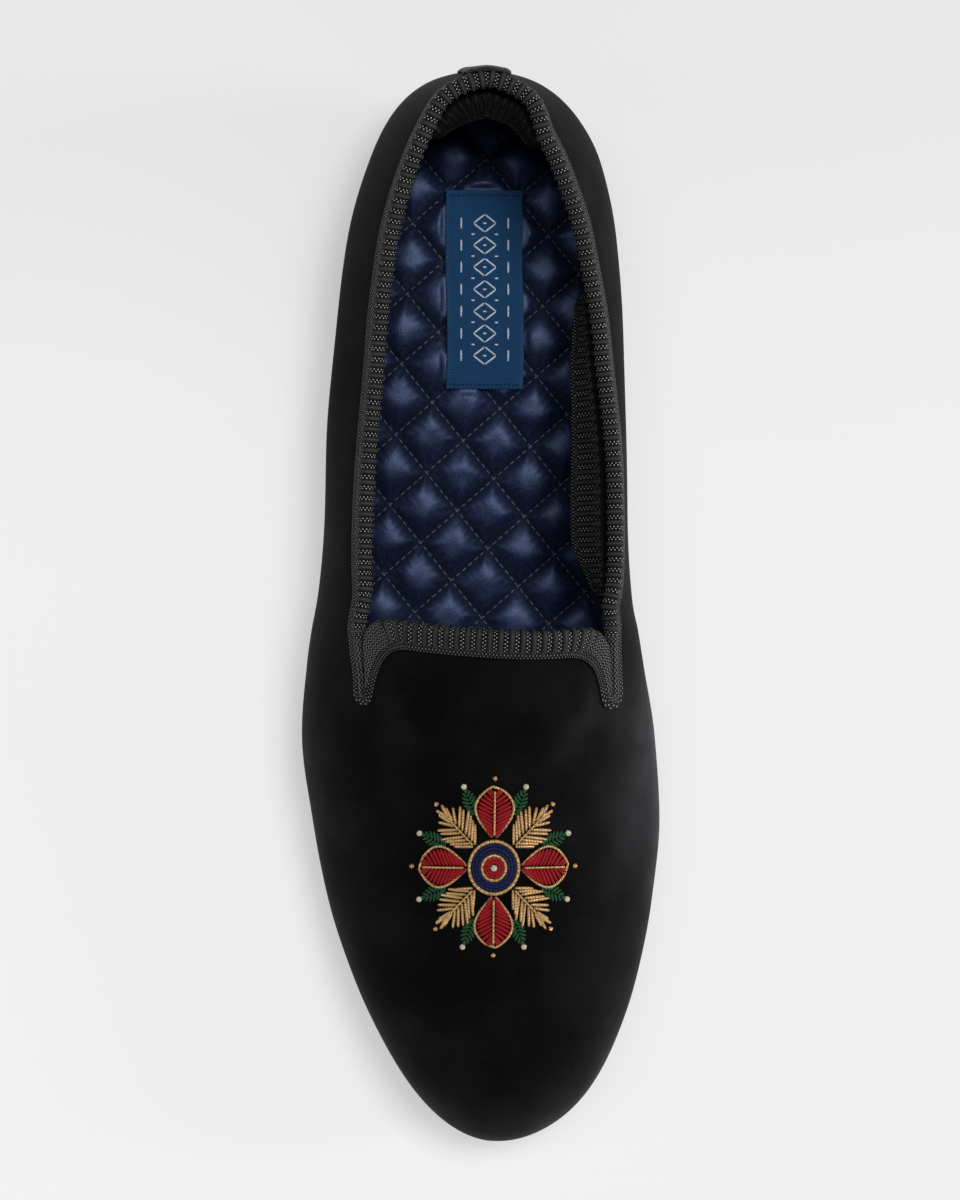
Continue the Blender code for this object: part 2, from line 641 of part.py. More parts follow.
def make_motif(upper, finish, parent):
    """A low embroidered rosette on the vamp, with the shape of the upper under it."""
    surface = Surface(upper)
    angles = np.linspace(0, 2 * np.pi, MOTIF_PETALS * 6, endpoint=False)
    high = 100 * MM

    def lifted(x, station, height):
        place, normal, _, _ = surface.tree.ray_cast(Vector((x, -station, high)), Vector((0, 0, -1)))
        return place + normal * height

    def ring(share, height):
        loop = []
        for angle in angles:
            reach = share * motif_radius(angle)
            x = MOTIF_X + MOTIF_RADIUS_X * reach * math.sin(angle)
            station = MOTIF_STATION - MOTIF_RADIUS_Y * reach * math.cos(angle)
            loop.append(lifted(x, station, height))
        return loop

    bm = bmesh.new()
    shares = ((0.35, GAP), (0.7, GAP), (1.0, GAP), (1.0, GAP + MOTIF_THICKNESS / 2),
              (0.94, GAP + MOTIF_THICKNESS), (0.7, GAP + MOTIF_THICKNESS), (0.35, GAP + MOTIF_THICKNESS))
    loops = [[bm.verts.new(point) for point in ring(*share)] for share in shares]
    for first, second in zip(loops, loops[1:]):
        for k in range(len(angles)):
            after = (k + 1) % len(angles)
            bm.faces.new([first[k], first[after], second[after], second[k]])
    for loop, height in ((loops[0], GAP), (loops[-1], GAP + MOTIF_THICKNESS)):
        centre = bm.verts.new(lifted(MOTIF_X, MOTIF_STATION, height))
        for k in range(len(angles)):
            bm.faces.new([loop[k], loop[(k + 1) % len(angles)], centre])
    bmesh.ops.recalc_face_normals(bm, faces=bm.faces)
    return new_object("vamp_motif", mesh_from("vamp_motif", bm), finish, parent)


def centre_on_floor(frame, parts):
    """Moves the whole shoe so that its box is centred on the origin and stands on the floor."""
    bpy.context.view_layer.update()
    graph = bpy.context.evaluated_depsgraph_get()
    corners = np.array([
        part.matrix_world @ Vector(corner)
        for part in parts
        for corner in part.evaluated_get(graph).bound_box
    ])
    low, high = corners.min(axis=0), corners.max(axis=0)
    frame.location = (-(low[0] + high[0]) / 2, -(low[1] + high[1]) / 2, -low[2])


def main():
    for obj in list(bpy.data.objects):
        bpy.data.objects.remove(obj)
    velvet = material("black velvet", (0.010, 0.010, 0.012), 0.9)
    ribbon = material("charcoal ribbed ribbon", (0.030, 0.029, 0.028), 0.6)
    satin = material("navy quilted satin", (0.012, 0.018, 0.060), 0.4)
    woven = material("blue woven label", (0.012, 0.050, 0.110), 0.6)
    bullion = material("gold embroidery thread", (0.45, 0.28, 0.09), 0.4, 0.7)
    leather = material("black sole leather", (0.020, 0.018, 0.016), 0.55)
    stacked = material("black heel leather", (0.015, 0.014, 0.013), 0.5)
    frame = bpy.data.objects.new("slipper", None)
    bpy.context.scene.collection.objects.link(frame)
    upper = make_upper(velvet, frame)
    insole = make_insole(satin, frame)
    parts = [
        upper,
        insole,
        make_outsole(leather, frame),
        make_heel(stacked, frame),
        make_binding(upper, ribbon, frame),
        make_back_strip(ribbon, frame),
        make_label(insole, woven, frame),
        make_motif(upper, bullion, frame),
    ]
    centre_on_floor(frame, parts)


main()
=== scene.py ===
"""Dresses the velvet house slipper: upper, ribbed ribbon, quilted insole, label, embroidery and sole."""

import math

import bmesh
import bpy
import numpy as np
from mathutils import Matrix, Vector
from mathutils.bvhtree import BVHTree
from mathutils.kdtree import KDTree


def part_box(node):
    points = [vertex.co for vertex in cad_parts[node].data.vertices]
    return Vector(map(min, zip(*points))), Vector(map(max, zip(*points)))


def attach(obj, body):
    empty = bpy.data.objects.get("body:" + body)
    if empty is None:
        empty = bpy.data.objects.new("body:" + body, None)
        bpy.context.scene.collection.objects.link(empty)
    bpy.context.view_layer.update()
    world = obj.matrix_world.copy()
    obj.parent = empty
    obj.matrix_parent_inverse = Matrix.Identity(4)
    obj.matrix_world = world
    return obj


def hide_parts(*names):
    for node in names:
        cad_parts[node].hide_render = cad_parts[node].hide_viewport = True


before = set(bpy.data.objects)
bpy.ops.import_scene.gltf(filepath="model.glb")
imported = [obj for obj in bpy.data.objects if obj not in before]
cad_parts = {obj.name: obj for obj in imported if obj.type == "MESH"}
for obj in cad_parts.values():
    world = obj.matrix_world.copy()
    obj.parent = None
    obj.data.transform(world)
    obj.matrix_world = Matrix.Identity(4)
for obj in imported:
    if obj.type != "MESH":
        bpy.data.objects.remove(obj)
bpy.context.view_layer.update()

MM = 0.001
LATERAL = -1
MEDIAL = 1

# The last and the make of the shoe
LENGTH = 289 * MM
BALL_WIDTH = 96.5 * MM
INSTEP_HEIGHT = 61 * MM
AXIS_HEEL_X = 0.5 * MM
AXIS_TOE_X = 4.8 * MM
WALL = 1.8 * MM
GAP = 0.3 * MM
SOLE_THICKNESS = 4.5 * MM
HEEL_HEIGHT = 10 * MM
INSOLE_THICKNESS = 5.2 * MM
INSOLE_CLEARANCE = 0.5 * MM
INSOLE_FOOT_INSET = 1.6 * MM
THROAT_STATION = 148.7 * MM
THROAT_BOW = 2.5 * MM
THROAT_SKEW = 0.043
THROAT_CORNER_RADIUS = 7.5 * MM
SLIT_TIP_STATION = 168 * MM
SLIT_HALF_GAP = 1.5 * MM

# Points across the vamp lie closer together by the slits, and creases fade out over these distances
ACROSS_POWER = 1.6
CREASE_FADE_AT_EDGE = (2 * MM, 9 * MM)
CREASE_FADE_AT_SOLE = (2 * MM, 12 * MM)

# Ribbon
RIBBON_AT_QUARTER = 4.6 * MM
RIBBON_AT_SLIT = 3.3 * MM
RIBBON_AT_TIP = {LATERAL: 1.7 * MM, MEDIAL: 2.9 * MM}
RIBBON_AT_CORNER = 5.0 * MM
RIBBON_CORNER_ROUND = 12.5 * MM
RIBBON_AT_THROAT = 6.0 * MM
RIBBON_NARROWS_FROM = 125 * MM
RIBBON_INNER_LEG = 11 * MM
RIBBON_VAMP_LEG = 3.0 * MM
RIBBON_THICKNESS = 0.7 * MM
RIBBON_RING_STEP = 0.34 * MM
RIB_PITCH = 2.8 * MM
RIB_HEIGHT = 0.55 * MM
RIB_BAR_SHARE = 0.6
KNIT_RIBBING = 0.25
SELVAGE_WIDTH = 2.0 * MM
SIDE_SELVAGE_WIDTH = 3.0 * MM

# The ribbon's section: its height over the velvet, its roll over the edge, and the loose band inside
RIBBON_LIFT = 0.55 * MM
RIBBON_ROLL = 1.0 * MM
RIBBON_ROLL_REACH = 1.25 * MM
RIBBON_BACK = 0.38 * MM
TRENCH_DEPTH = 4.8 * MM
BAND_FROM = 0.42
BAND_DROP = 3.6 * MM
BAND_FALL = 3.4 * MM
WALK_STEP = 0.6 * MM

# Shares of the ribbon's width at which its section has points, outside and inside
OUTER_SHARES = np.array([0.12, 0.3, 0.48, 0.62, 0.74, 0.86, 1.0])
INNER_SHARES = np.array([0.05, 0.12, 0.20, 0.28, 0.34, 0.39, 0.43, 0.48, 0.55, 0.64, 0.74, 0.84, 0.93, 1.0])

# Trim
STRIP_WIDTH = 13.5 * MM
STRIP_THICKNESS = 0.9 * MM
STRIP_FOOT_LEVEL = 0.3
STRIP_SEAM_HEIGHT = 0.12 * MM
STRIP_PAST_EDGE = 1.0 * MM
STRIP_OVER_RIBBON = GAP + 0.3 * MM + RIBBON_THICKNESS
LABEL_WIDTH = 21 * MM
LABEL_LENGTH = 54 * MM
LABEL_STATION = 57.5 * MM
LABEL_X = 1.4 * MM
LABEL_THICKNESS = 0.42 * MM
LABEL_CURL = 0.7 * MM
LABEL_LOW = 0.35 * MM
LABEL_SWELL = 0.11 * MM
LABEL_PRESSES = (0.3 * MM, 2.2 * MM)
LABEL_STITCH_LENGTH = 0.72 * MM
LABEL_STITCH_LIFT = 0.47 * MM
LABEL_STITCH_RADIUS = 0.17 * MM
LABEL_YARN_RADIUS = 0.27 * MM
QUILT_CENTRE = (-3.5 * MM, 88.8 * MM)
QUILT_ACROSS = (18.5 * MM, 1.6 * MM)
QUILT_ALONG = (-1.55 * MM, 19.15 * MM)
QUILT_CROWN = 1.1 * MM
QUILT_CROWN_SPREAD = 0.25 * MM
QUILT_TROUGH = -2.0 * MM
PUCKER_HEIGHT = 0.14 * MM
PUCKER_REACH = 2.5 * MM
PULL_HEIGHT = 0.36 * MM
PULL_REACH = 4.6 * MM
DRAPE_HEIGHT = 0.2 * MM
SEAM_REACH = 1.9 * MM
STITCH_PITCH = 2.2 * MM
STITCH_LENGTH = 1.4 * MM
STITCH_RADIUS = 0.2 * MM
STITCH_LIFT = 0.1 * MM
STITCH_MARGIN = 2.0 * MM
THREAD_TURN = 0.42 * MM
MOTIF_STATION = 212 * MM
MOTIF_X = 2.6 * MM
MOTIF_STRETCH = 24.5 / 22
THREE_WAYS = (0, math.pi / 3, 2 * math.pi / 3)

# Studio
FLOOR_REACH = 14.0
CAMERA_DISTANCE = 0.8
CAMERA_LEAN = 2.5
CAMERA_TARGET = (0.5 * MM, 1.9 * MM, 0)
SENSOR_WIDTH = 36
IMAGE_HEIGHT = 1200
PIXELS_PER_MM = 3.58
# Name, place, target, size and power of each light
LIGHTS = (
    ("window", (0.55, 0.55, 2.3), (0, 0, 0), (0.8, 0.8), 26),
    ("overhead", (0.0, 0.40, 2.0), (0, 0, 0), (2.2, 0.6), 18),
    ("right", (2.0, 0.1, 0.4), (0, 0, 0.02), (0.5, 1.2), 26),
    ("left", (-2.0, -0.2, 0.7), (0, 0, 0.02), (0.8, 1.6), 4),
    ("toe", (0.2, -2.0, 0.7), (0, 0, 0.02), (1.6, 0.8), 8),
)

# Cross sections of the upper, in per cent of the length, the ball width and the instep height
SECTION_COLUMNS = (
    "station", "lateral", "medial", "tuck_lateral", "tuck_medial",
    "belly_lateral", "belly_medial", "ridge_lateral", "ridge_medial", "shift", "lean",
)
SECTIONS = (
    (0.0, 0.0, 0.0, 5.2, 5.2, 24, 24, 182, 182, 0.0, 150),
    (1.1, 15.8, 15.8, 5.2, 5.3, 24, 23.6, 156, 149, 0.0, 150),
    (4.0, 25.5, 26.0, 5.2, 5.5, 24, 23, 133, 118, 0.0, 150),
    (8.3, 32.0, 32.7, 5.7, 6.2, 24, 22, 127, 115, 0.0, 150),
    (15.5, 38.4, 36.6, 6.2, 8.0, 23, 23, 115, 114, 0.5, 150),
    (26.0, 42.6, 37.8, 7.3, 11.5, 21, 30, 104, 114, 1.0, 150),
    (38.0, 45.8, 38.5, 8.3, 14.0, 20, 38, 104, 115, 2.0, 130),
    (48.0, 48.2, 39.6, 8.3, 13.0, 19, 36, 100, 106, 2.6, 105),
    (50.0, 49.1, 40.2, 8.2, 12.5, 18.8, 34.2, 101, 101, 2.6, 102),
    (51.5, 50.0, 41.2, 8.0, 11.8, 18.5, 32, 100, 100, 2.6, 100),
    (55.0, 51.6, 43.0, 7.8, 10.4, 18, 28, 96, 96, 2.6, 100),
    (62.0, 53.4, 46.4, 7.3, 8.3, 17, 21, 86, 86, 2.6, 100),
    (69.7, 50.8, 47.7, 6.7, 7.3, 16.5, 18, 75, 75, 2.1, 100),
    (77.2, 46.8, 45.3, 6.2, 6.7, 16, 17, 65.5, 65.5, 1.5, 100),
    (84.8, 39.7, 40.4, 6.2, 6.2, 15.5, 16, 57, 57, 1.0, 100),
    (90.3, 32.3, 34.5, 5.7, 5.7, 15, 15, 50, 50, 0.5, 100),
    (95.2, 23.3, 26.2, 5.2, 5.2, 14, 14, 41, 41, 0.0, 100),
    (100.0, 0.0, 0.0, 5.2, 5.2, 13, 13, 13, 13, 0.0, 100),
)
SOLE_COLUMNS = ("station", "bottom")
SOLE_PROFILE = (
    (0, 100), (22, 100), (38, 52), (50, 9), (57, 0),
    (71, 0), (81, 17), (91, 52), (100, 95),
)

# Height of the collar's edge along both sides, in millimetres
SIDE_COLUMNS = ("station", "lateral", "medial")
COLLAR = (
    (0, 64.0, 64.0), (20, 61.5, 61.5), (45, 55.0, 55.5), (75, 49.5, 50.5), (105, 47.5, 48.5),
    (130, 48.0, 50.0), (150, 50.0, 52.5), (160, 49.3, 51.0), (168, 48.0, 49.4),
)

# How far the loose inner edge of the ribbon stands into the shoe from the roll, in millimetres
FLARE = (
    (0, 7.4, 7.4), (5, 6.4, 6.4), (10, 3.6, 3.6), (15, 1.2, 1.2), (22, 0.2, 0.2), (42, 0.2, 0.2),
    (56, 0.2, 1.0), (64, 0.2, 3.8), (90, 0.2, 7.6), (118, 0.2, 9.8), (124, 0.2, 9.8), (133, 0.2, 7.6),
    (142, 0.2, 4.8), (149, 0.2, 0.6),
)

# Soft swells (+) and creases (-) of the velvet in millimetres and degrees from the toe direction
CREASE_COLUMNS = ("station", "x", "run", "width", "heading", "rise")
CREASES = (
    (178, -23, 14, 4.5, 48, -0.8), (179, 26, 14, 4.5, -48, -0.8), (172, -20, 9, 6, 30, 0.7),
    (167, 25, 10, 7, -25, 0.7), (168, 1, 16, 9, 5, -0.7), (192, -33, 18, 7, 12, 0.5),
    (196, 36, 18, 7, -12, 0.5), (262, -8, 12, 9, 60, -0.4), (255, 20, 16, 7, -40, -0.4),
    (120, -44, 20, 6, 3, -0.6), (95, -43, 16, 6, -4, 0.5), (128, 38, 18, 6, 0, -0.5),
    (60, 36, 18, 6, 4, 0.4),
)


def hermite(xs, ys):
    """A smooth curve through the points that doesn't overshoot them, as a function."""
    step = np.diff(xs)
    slope = np.diff(ys) / step
    ends = np.concatenate([slope[:1], np.zeros(len(xs) - 2), slope[-1:]])
    same_sign = slope[:-1] * slope[1:] > 0
    before, after = 2 * step[1:] + step[:-1], step[1:] + 2 * step[:-1]
    safe = np.where(same_sign, slope[:-1], 1), np.where(same_sign, slope[1:], 1)
    mean = (before + after) / (before / safe[0] + after / safe[1])
    ends[1:-1] = np.where(same_sign, mean, 0)

    def value(x):
        x = np.clip(np.asarray(x, float), xs[0], xs[-1])
        i = np.clip(np.searchsorted(xs, x, side="right") - 1, 0, len(xs) - 2)
        t = (x - xs[i]) / step[i]
        rise = ys[i] * (1 + 2 * t) * (1 - t) ** 2 + ys[i + 1] * t**2 * (3 - 2 * t)
        bend = step[i] * (ends[i] * t * (1 - t) ** 2 - ends[i + 1] * t**2 * (1 - t))
        return rise + bend

    return value


def column(table, names, name):
    return np.array([row[names.index(name)] for row in table], float)


def smooth(low, high, value):
    """0 below low, 1 above high and a soft step between."""
    t = np.clip((np.asarray(value, float) - low) / (high - low), 0, 1)
    return t * t * (3 - 2 * t)


def between(first, second, share):
    return first + (second - first) * share


def unit(vectors):
    return vectors / np.linalg.norm(vectors, axis=-1, keepdims=True)


def turn_of(station):
    return np.arccos(np.clip(1 - 2 * np.asarray(station, float) / LENGTH, -1, 1)) / np.pi


def station_of(turn):
    return LENGTH * (1 - np.cos(np.pi * np.asarray(turn, float))) / 2


SECTION_TURNS = turn_of(column(SECTIONS, SECTION_COLUMNS, "station") / 100 * LENGTH)
SECTION = {
    name: hermite(SECTION_TURNS, column(SECTIONS, SECTION_COLUMNS, name) / 100)
    for name in SECTION_COLUMNS[1:]
}
SOLE_BOTTOM = hermite(
    column(SOLE_PROFILE, SOLE_COLUMNS, "station") / 100 * LENGTH,
    column(SOLE_PROFILE, SOLE_COLUMNS, "bottom") / 100 * HEEL_HEIGHT,
)
SIDE_NAMES = {LATERAL: "lateral", MEDIAL: "medial"}


def side_curves(table):
    """A curve over the stations for each side, from a table in millimetres."""
    stations = column(table, SIDE_COLUMNS, "station") * MM
    return {
        side: hermite(stations, column(table, SIDE_COLUMNS, name) * MM) for side, name in SIDE_NAMES.items()
    }


COLLAR_HEIGHT = side_curves(COLLAR)
FLARE_REACH = side_curves(FLARE)


def section(name, turn):
    scale = INSTEP_HEIGHT if name.startswith(("ridge", "belly")) else BALL_WIDTH
    return SECTION[name](turn) * scale


def sole_top(station):
    return SOLE_BOTTOM(station) + SOLE_THICKNESS


def axis_x(station):
    return between(AXIS_HEEL_X, AXIS_TOE_X, np.asarray(station) / LENGTH)


def outline(turn, side):
    """Plan position (station, x) of the widest level."""
    station = station_of(turn)
    return np.stack([station, axis_x(station) + side * section(SIDE_NAMES[side], turn)], axis=-1)


def outline_normal(turn, side):
    small = 1e-6
    run = outline(np.clip(turn + small, 0, 1), side) - outline(np.clip(turn - small, 0, 1), side)
    return unit(side * np.stack([-run[..., 1], run[..., 0]], axis=-1))


def feather(turn, side, inset=0.0):
    """Plan position of the lower edge of the upper, or of a line inset from it."""
    tuck = section("tuck_" + SIDE_NAMES[side], turn) + inset
    return outline(turn, side) - outline_normal(turn, side) * tuck[..., None]


def ridge_plan(turn):
    heel_reach, heel_end = 36 * MM, 96 * MM
    station = station_of(turn)
    ridge_station = station + heel_reach * np.clip(1 - station / heel_end, 0, 1) ** 2
    return np.stack([ridge_station, axis_x(station) + section("shift", turn)], axis=-1)


def belly_height(turn, side):
    return sole_top(feather(turn, side)[..., 0]) + GAP + section("belly_" + SIDE_NAMES[side], turn)


def ridge_height(turn, side):
    base = [sole_top(feather(turn, each)[..., 0]) for each in (LATERAL, MEDIAL)]
    return (base[0] + base[1]) / 2 + GAP + section("ridge_" + SIDE_NAMES[side], turn)


def wall_point(turn, side, level):
    """A point of the upper's outer face. Level 0 is the feather edge, 1 the widest level, 2 the ridge."""
    turn, level = np.broadcast_arrays(np.asarray(turn, float), np.asarray(level, float))
    low = np.clip(level, 0, 1) * np.pi / 2
    high = np.clip(level - 1, 0, 1) * np.pi / 2
    tuck = section("tuck_" + SIDE_NAMES[side], turn)
    belly = section("belly_" + SIDE_NAMES[side], turn)
    widest = outline(turn, side)
    under = widest - outline_normal(turn, side) * (tuck * (1 - np.sin(low)))[..., None]
    ridge = ridge_plan(turn)
    lean = SECTION["lean"](turn)
    above = between(ridge, widest, (np.maximum(np.cos(high), 0) ** lean)[..., None])
    plan = np.where((level > 1)[..., None], above, under)
    top = belly_height(turn, side)
    height = top - belly * np.cos(low) + (ridge_height(turn, side) - top) * np.sin(high) ** lean
    return np.stack([plan[..., 1], -plan[..., 0], height], axis=-1)


def wall_normal(turn, side, level):
    small = 1e-4
    along = wall_point(np.clip(turn + small, 0, 1), side, level)
    along = along - wall_point(np.clip(turn - small, 0, 1), side, level)
    up = wall_point(turn, side, level + small) - wall_point(turn, side, level - small)
    return unit(side * np.cross(up, along))


def level_step(turn, side, level, distance):
    small = 1e-3
    run = wall_point(turn, side, level + small) - wall_point(turn, side, level - small)
    return distance * 2 * small / np.linalg.norm(run, axis=-1)


def collar_level(station, side):
    """Level of the line that the collar's edge and the middle of the slit follow."""
    turn = turn_of(np.minimum(station, SLIT_TIP_STATION))
    low, high = belly_height(turn, side), ridge_height(turn, side)
    lean = SECTION["lean"](turn)
    share = np.clip((COLLAR_HEIGHT[side](station) - low) / (high - low), 0, 1) ** (1 / lean)
    return 1 + np.arcsin(share) * 2 / np.pi


def slit_slant(side):
    stations = np.array([SLIT_TIP_STATION - SLIT_HALF_GAP, SLIT_TIP_STATION])
    levels = collar_level(stations, side)
    ends = wall_point(turn_of(stations), side, levels)
    across = wall_point(turn_of(stations[1]), side, levels[1] + 1e-3) - ends[1]
    return np.dot(ends[1] - ends[0], across) / np.linalg.norm(across) / SLIT_HALF_GAP


def edge_level(station, side, part):
    """Level of the opening's edge: part -1 is the quarter's edge, +1 the vamp's edge of the slit."""
    level = collar_level(station, side)
    past = np.clip(station - SLIT_TIP_STATION + SLIT_HALF_GAP, 0, SLIT_HALF_GAP)
    half_gap = np.sqrt(SLIT_HALF_GAP**2 - past**2)
    in_slit = np.clip((station - THROAT_STATION + 4 * SLIT_HALF_GAP) / (4 * SLIT_HALF_GAP), 0, 1)
    side_shift = half_gap * (part if part > 0 else -in_slit) - slit_slant(side) * past
    return level + level_step(turn_of(np.minimum(station, SLIT_TIP_STATION)), side, level, side_shift)


def throat_station(side, across):
    """Station of the throat's edge at a share of the way from the slit, 0, to the ridge, 1."""
    turn = turn_of(THROAT_STATION)
    level = edge_level(THROAT_STATION, side, 1)
    arc = wall_point(turn, side, between(level, 2, np.asarray(across, float)))
    slit = wall_point(turn, side, level)
    corner = np.clip(1 - np.linalg.norm(arc - slit, axis=-1) / THROAT_CORNER_RADIUS, 0, 1)
    rounding = THROAT_CORNER_RADIUS * (1 - np.sqrt(1 - corner**2))
    bow = THROAT_BOW * np.sin(np.asarray(across) * np.pi / 2)
    return THROAT_STATION + bow + THROAT_SKEW * arc[..., 0] + rounding


# The row frame has its origin under the middle of the shoe
UPPER_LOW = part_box("upper")[0]
SHIFT = np.array([
    UPPER_LOW.x - outline(np.linspace(0, 1, 2001), LATERAL)[:, 1].min(),
    UPPER_LOW.y + LENGTH,
    0.0,
])


# Meshes and pieces

def grid_quads(rows, columns, first=0, turned=False, close_rows=False, close_columns=False):
    """Quads between the rows and columns of a grid of points, as corner numbers."""
    i, j = np.meshgrid(
        np.arange(rows if close_rows else rows - 1),
        np.arange(columns if close_columns else columns - 1),
        indexing="ij",
    )
    after_i, after_j = (i + 1) % rows, (j + 1) % columns
    quads = np.stack([
        i * columns + j, after_i * columns + j, after_i * columns + after_j, i * columns + after_j,
    ], axis=-1).reshape(-1, 4) + first
    return quads[:, ::-1] if turned else quads


def new_mesh(name, points, faces):
    """A smooth mesh in the row frame from points in the last's frame."""
    mesh = bpy.data.meshes.new(name)
    places = np.asarray(points).reshape(-1, 3) + SHIFT
    mesh.from_pydata(places.tolist(), [], [list(map(int, face)) for face in faces])
    mesh.shade_smooth()
    return mesh


def new_object(name, mesh, *materials):
    for each in materials:
        mesh.materials.append(each)
    obj = bpy.data.objects.new(name, mesh)
    bpy.context.scene.collection.objects.link(obj)
    return obj


def merged(mesh, distance=2e-6, outward=False):
    """Joins points that meet and drops faces that closed up."""
    bm = bmesh.new()
    bm.from_mesh(mesh)
    bmesh.ops.remove_doubles(bm, verts=bm.verts, dist=distance)
    bmesh.ops.dissolve_degenerate(bm, edges=bm.edges, dist=distance)
    if outward:
        bmesh.ops.recalc_face_normals(bm, faces=bm.faces)
    bm.to_mesh(mesh)
    bm.free()
    return mesh


def point_values(mesh, name, values):
    mesh.attributes.new(name, "FLOAT", "POINT").data.foreach_set("value", np.asarray(values, float).ravel())


def point_vectors(mesh, name, values):
    made = mesh.attributes.new(name, "FLOAT_VECTOR", "POINT")
    made.data.foreach_set("vector", np.asarray(values, float).ravel())


def corner_points(mesh):
    """The number of the point at each corner of the faces."""
    numbers = np.zeros(len(mesh.loops), np.int32)
    mesh.loops.foreach_get("vertex_index", numbers)
    return numbers


def corner_values(mesh, name, values):
    """Keeps two coordinates at each corner as a UV map."""
    mesh.uv_layers.new(name=name).data.foreach_set("uv", np.asarray(values, float).ravel())


def plain(obj):
    """Replaces an object's mesh by its evaluated one and removes its modifiers."""
    bpy.context.view_layer.update()
    graph = bpy.context.evaluated_depsgraph_get()
    mesh = bpy.data.meshes.new_from_object(obj.evaluated_get(graph), depsgraph=graph)
    obj.modifiers.clear()
    obj.data = mesh
    return obj


def ride_as(obj, slot, *nodes):
    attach(obj, "root")
    if nodes:
        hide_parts(*nodes)
    return obj


def solid_tree(mesh):
    bm = bmesh.new()
    bm.from_mesh(mesh)
    tree = BVHTree.FromBMesh(bm)
    bm.free()
    return tree


# Node trees

def add_node(tree, kind, values=(), **settings):
    """Adds a node, with its settings, and its inputs as numbers or as links from other nodes' outputs."""
    node = tree.nodes.new(kind)
    for name, value in settings.items():
        setattr(node, name, value)
    for key, value in dict(values).items():
        if isinstance(value, bpy.types.NodeSocket):
            tree.links.new(value, node.inputs[key])
        else:
            node.inputs[key].default_value = value
    return node


def maths(operation, *values, clamp=False):
    """A sum on numbers and other nodes' outputs, in the tree of the first output among them."""
    tree = next(value.id_data for value in values if isinstance(value, bpy.types.NodeSocket))
    node = add_node(tree, "ShaderNodeMath", dict(enumerate(values)), operation=operation, use_clamp=clamp)
    return node.outputs[0]


def times(first, second, clamp=False):
    return maths("MULTIPLY", first, second, clamp=clamp)


def plus(first, second):
    return maths("ADD", first, second)


def stretched(value, factor, start):
    """A value times a factor, from a start."""
    return maths("MULTIPLY_ADD", value, factor, start)


def wave(value, period):
    """A sine of a value, which repeats after each period."""
    return maths("SINE", times(value, 2 * math.pi / period))


def soft_step(value, low, high):
    ends = {"Value": value, "From Min": low, "From Max": high}
    return add_node(value.id_data, "ShaderNodeMapRange", ends, interpolation_type="SMOOTHSTEP").outputs[0]


def mix_value(share, first, second):
    return add_node(share.id_data, "ShaderNodeMix", {0: share, 2: first, 3: second}).outputs[0]


def mix_colour(share, first, second):
    """Mixes two colours, each of them three numbers or another node's output."""
    ends = [end if isinstance(end, bpy.types.NodeSocket) else (*end, 1) for end in (first, second)]
    mix = add_node(share.id_data, "ShaderNodeMix", {0: share, 6: ends[0], 7: ends[1]}, data_type="RGBA")
    return mix.outputs[2]


def painted(tree, name):
    """A value that the mesh's points carry."""
    return add_node(tree, "ShaderNodeAttribute", attribute_name=name).outputs["Fac"]


def object_place(tree):
    return add_node(tree, "ShaderNodeTexCoord").outputs["Object"]


def parts_of(vector):
    return list(add_node(vector.id_data, "ShaderNodeSeparateXYZ", {0: vector}).outputs)


def weave_place(tree, uv_map):
    """Both coordinates of a UV map."""
    return parts_of(add_node(tree, "ShaderNodeUVMap", uv_map=uv_map).outputs[0])[:2]


def new_material(name, roughness, **constants):
    """A material with a Principled BSDF whose constant sockets are set by name."""
    made = bpy.data.materials.new(name)
    made.use_nodes = True
    shader = made.node_tree.nodes["Principled BSDF"]
    shader.inputs["Roughness"].default_value = roughness
    for key, value in constants.items():
        shader.inputs[key.replace("_", " ")].default_value = value
    return made, made.node_tree, shader


def dress(shader, colour, height, distance, strength):
    """Gives a shader its colour and its bump."""
    tree = shader.id_data
    tree.links.new(colour, shader.inputs["Base Color"])
    bump = add_node(tree, "ShaderNodeBump", {"Height": height, "Distance": distance, "Strength": strength})
    tree.links.new(bump.outputs[0], shader.inputs["Normal"])


def cloth_grain_group():
    """Two sizes of mottling for any cloth: a broad tone and a fine grain, from object coordinates."""
    group = bpy.data.node_groups.new("cloth grain", "ShaderNodeTree")
    for name in ("Broad scale", "Fine scale"):
        group.interface.new_socket(name, in_out="INPUT", socket_type="NodeSocketFloat")
    for name in ("Tone", "Grain"):
        group.interface.new_socket(name, in_out="OUTPUT", socket_type="NodeSocketFloat")
    given = add_node(group, "NodeGroupInput")
    place = object_place(group)
    made = {}
    for number, detail in enumerate((3.0, 2.0)):
        values = {"Vector": place, "Scale": given.outputs[number], "Detail": detail}
        made[number] = add_node(group, "ShaderNodeTexNoise", values).outputs["Fac"]
    add_node(group, "NodeGroupOutput", made)
    return group


GRAIN = cloth_grain_group()


def grain_of(tree, broad, fine):
    node = add_node(tree, "ShaderNodeGroup", {"Broad scale": broad, "Fine scale": fine}, node_tree=GRAIN)
    return node.outputs["Tone"], node.outputs["Grain"]


def new_geometry_tree(name, inputs):
    """A Geometry Nodes tree with named inputs after its geometry, and the identifiers of those inputs."""
    tree = bpy.data.node_groups.new(name, "GeometryNodeTree")
    tree.interface.new_socket("Geometry", in_out="INPUT", socket_type="NodeSocketGeometry")
    named = {}
    for label, kind in inputs:
        socket = tree.interface.new_socket(label, in_out="INPUT", socket_type="NodeSocket" + kind)
        named[label] = socket.identifier
    tree.interface.new_socket("Geometry", in_out="OUTPUT", socket_type="NodeSocketGeometry")
    return tree, named, add_node(tree, "NodeGroupInput").outputs


def carried(tree, name, kind="FLOAT"):
    """A value that the points of a geometry carry."""
    return add_node(tree, "GeometryNodeInputNamedAttribute", {"Name": name}, data_type=kind).outputs[0]


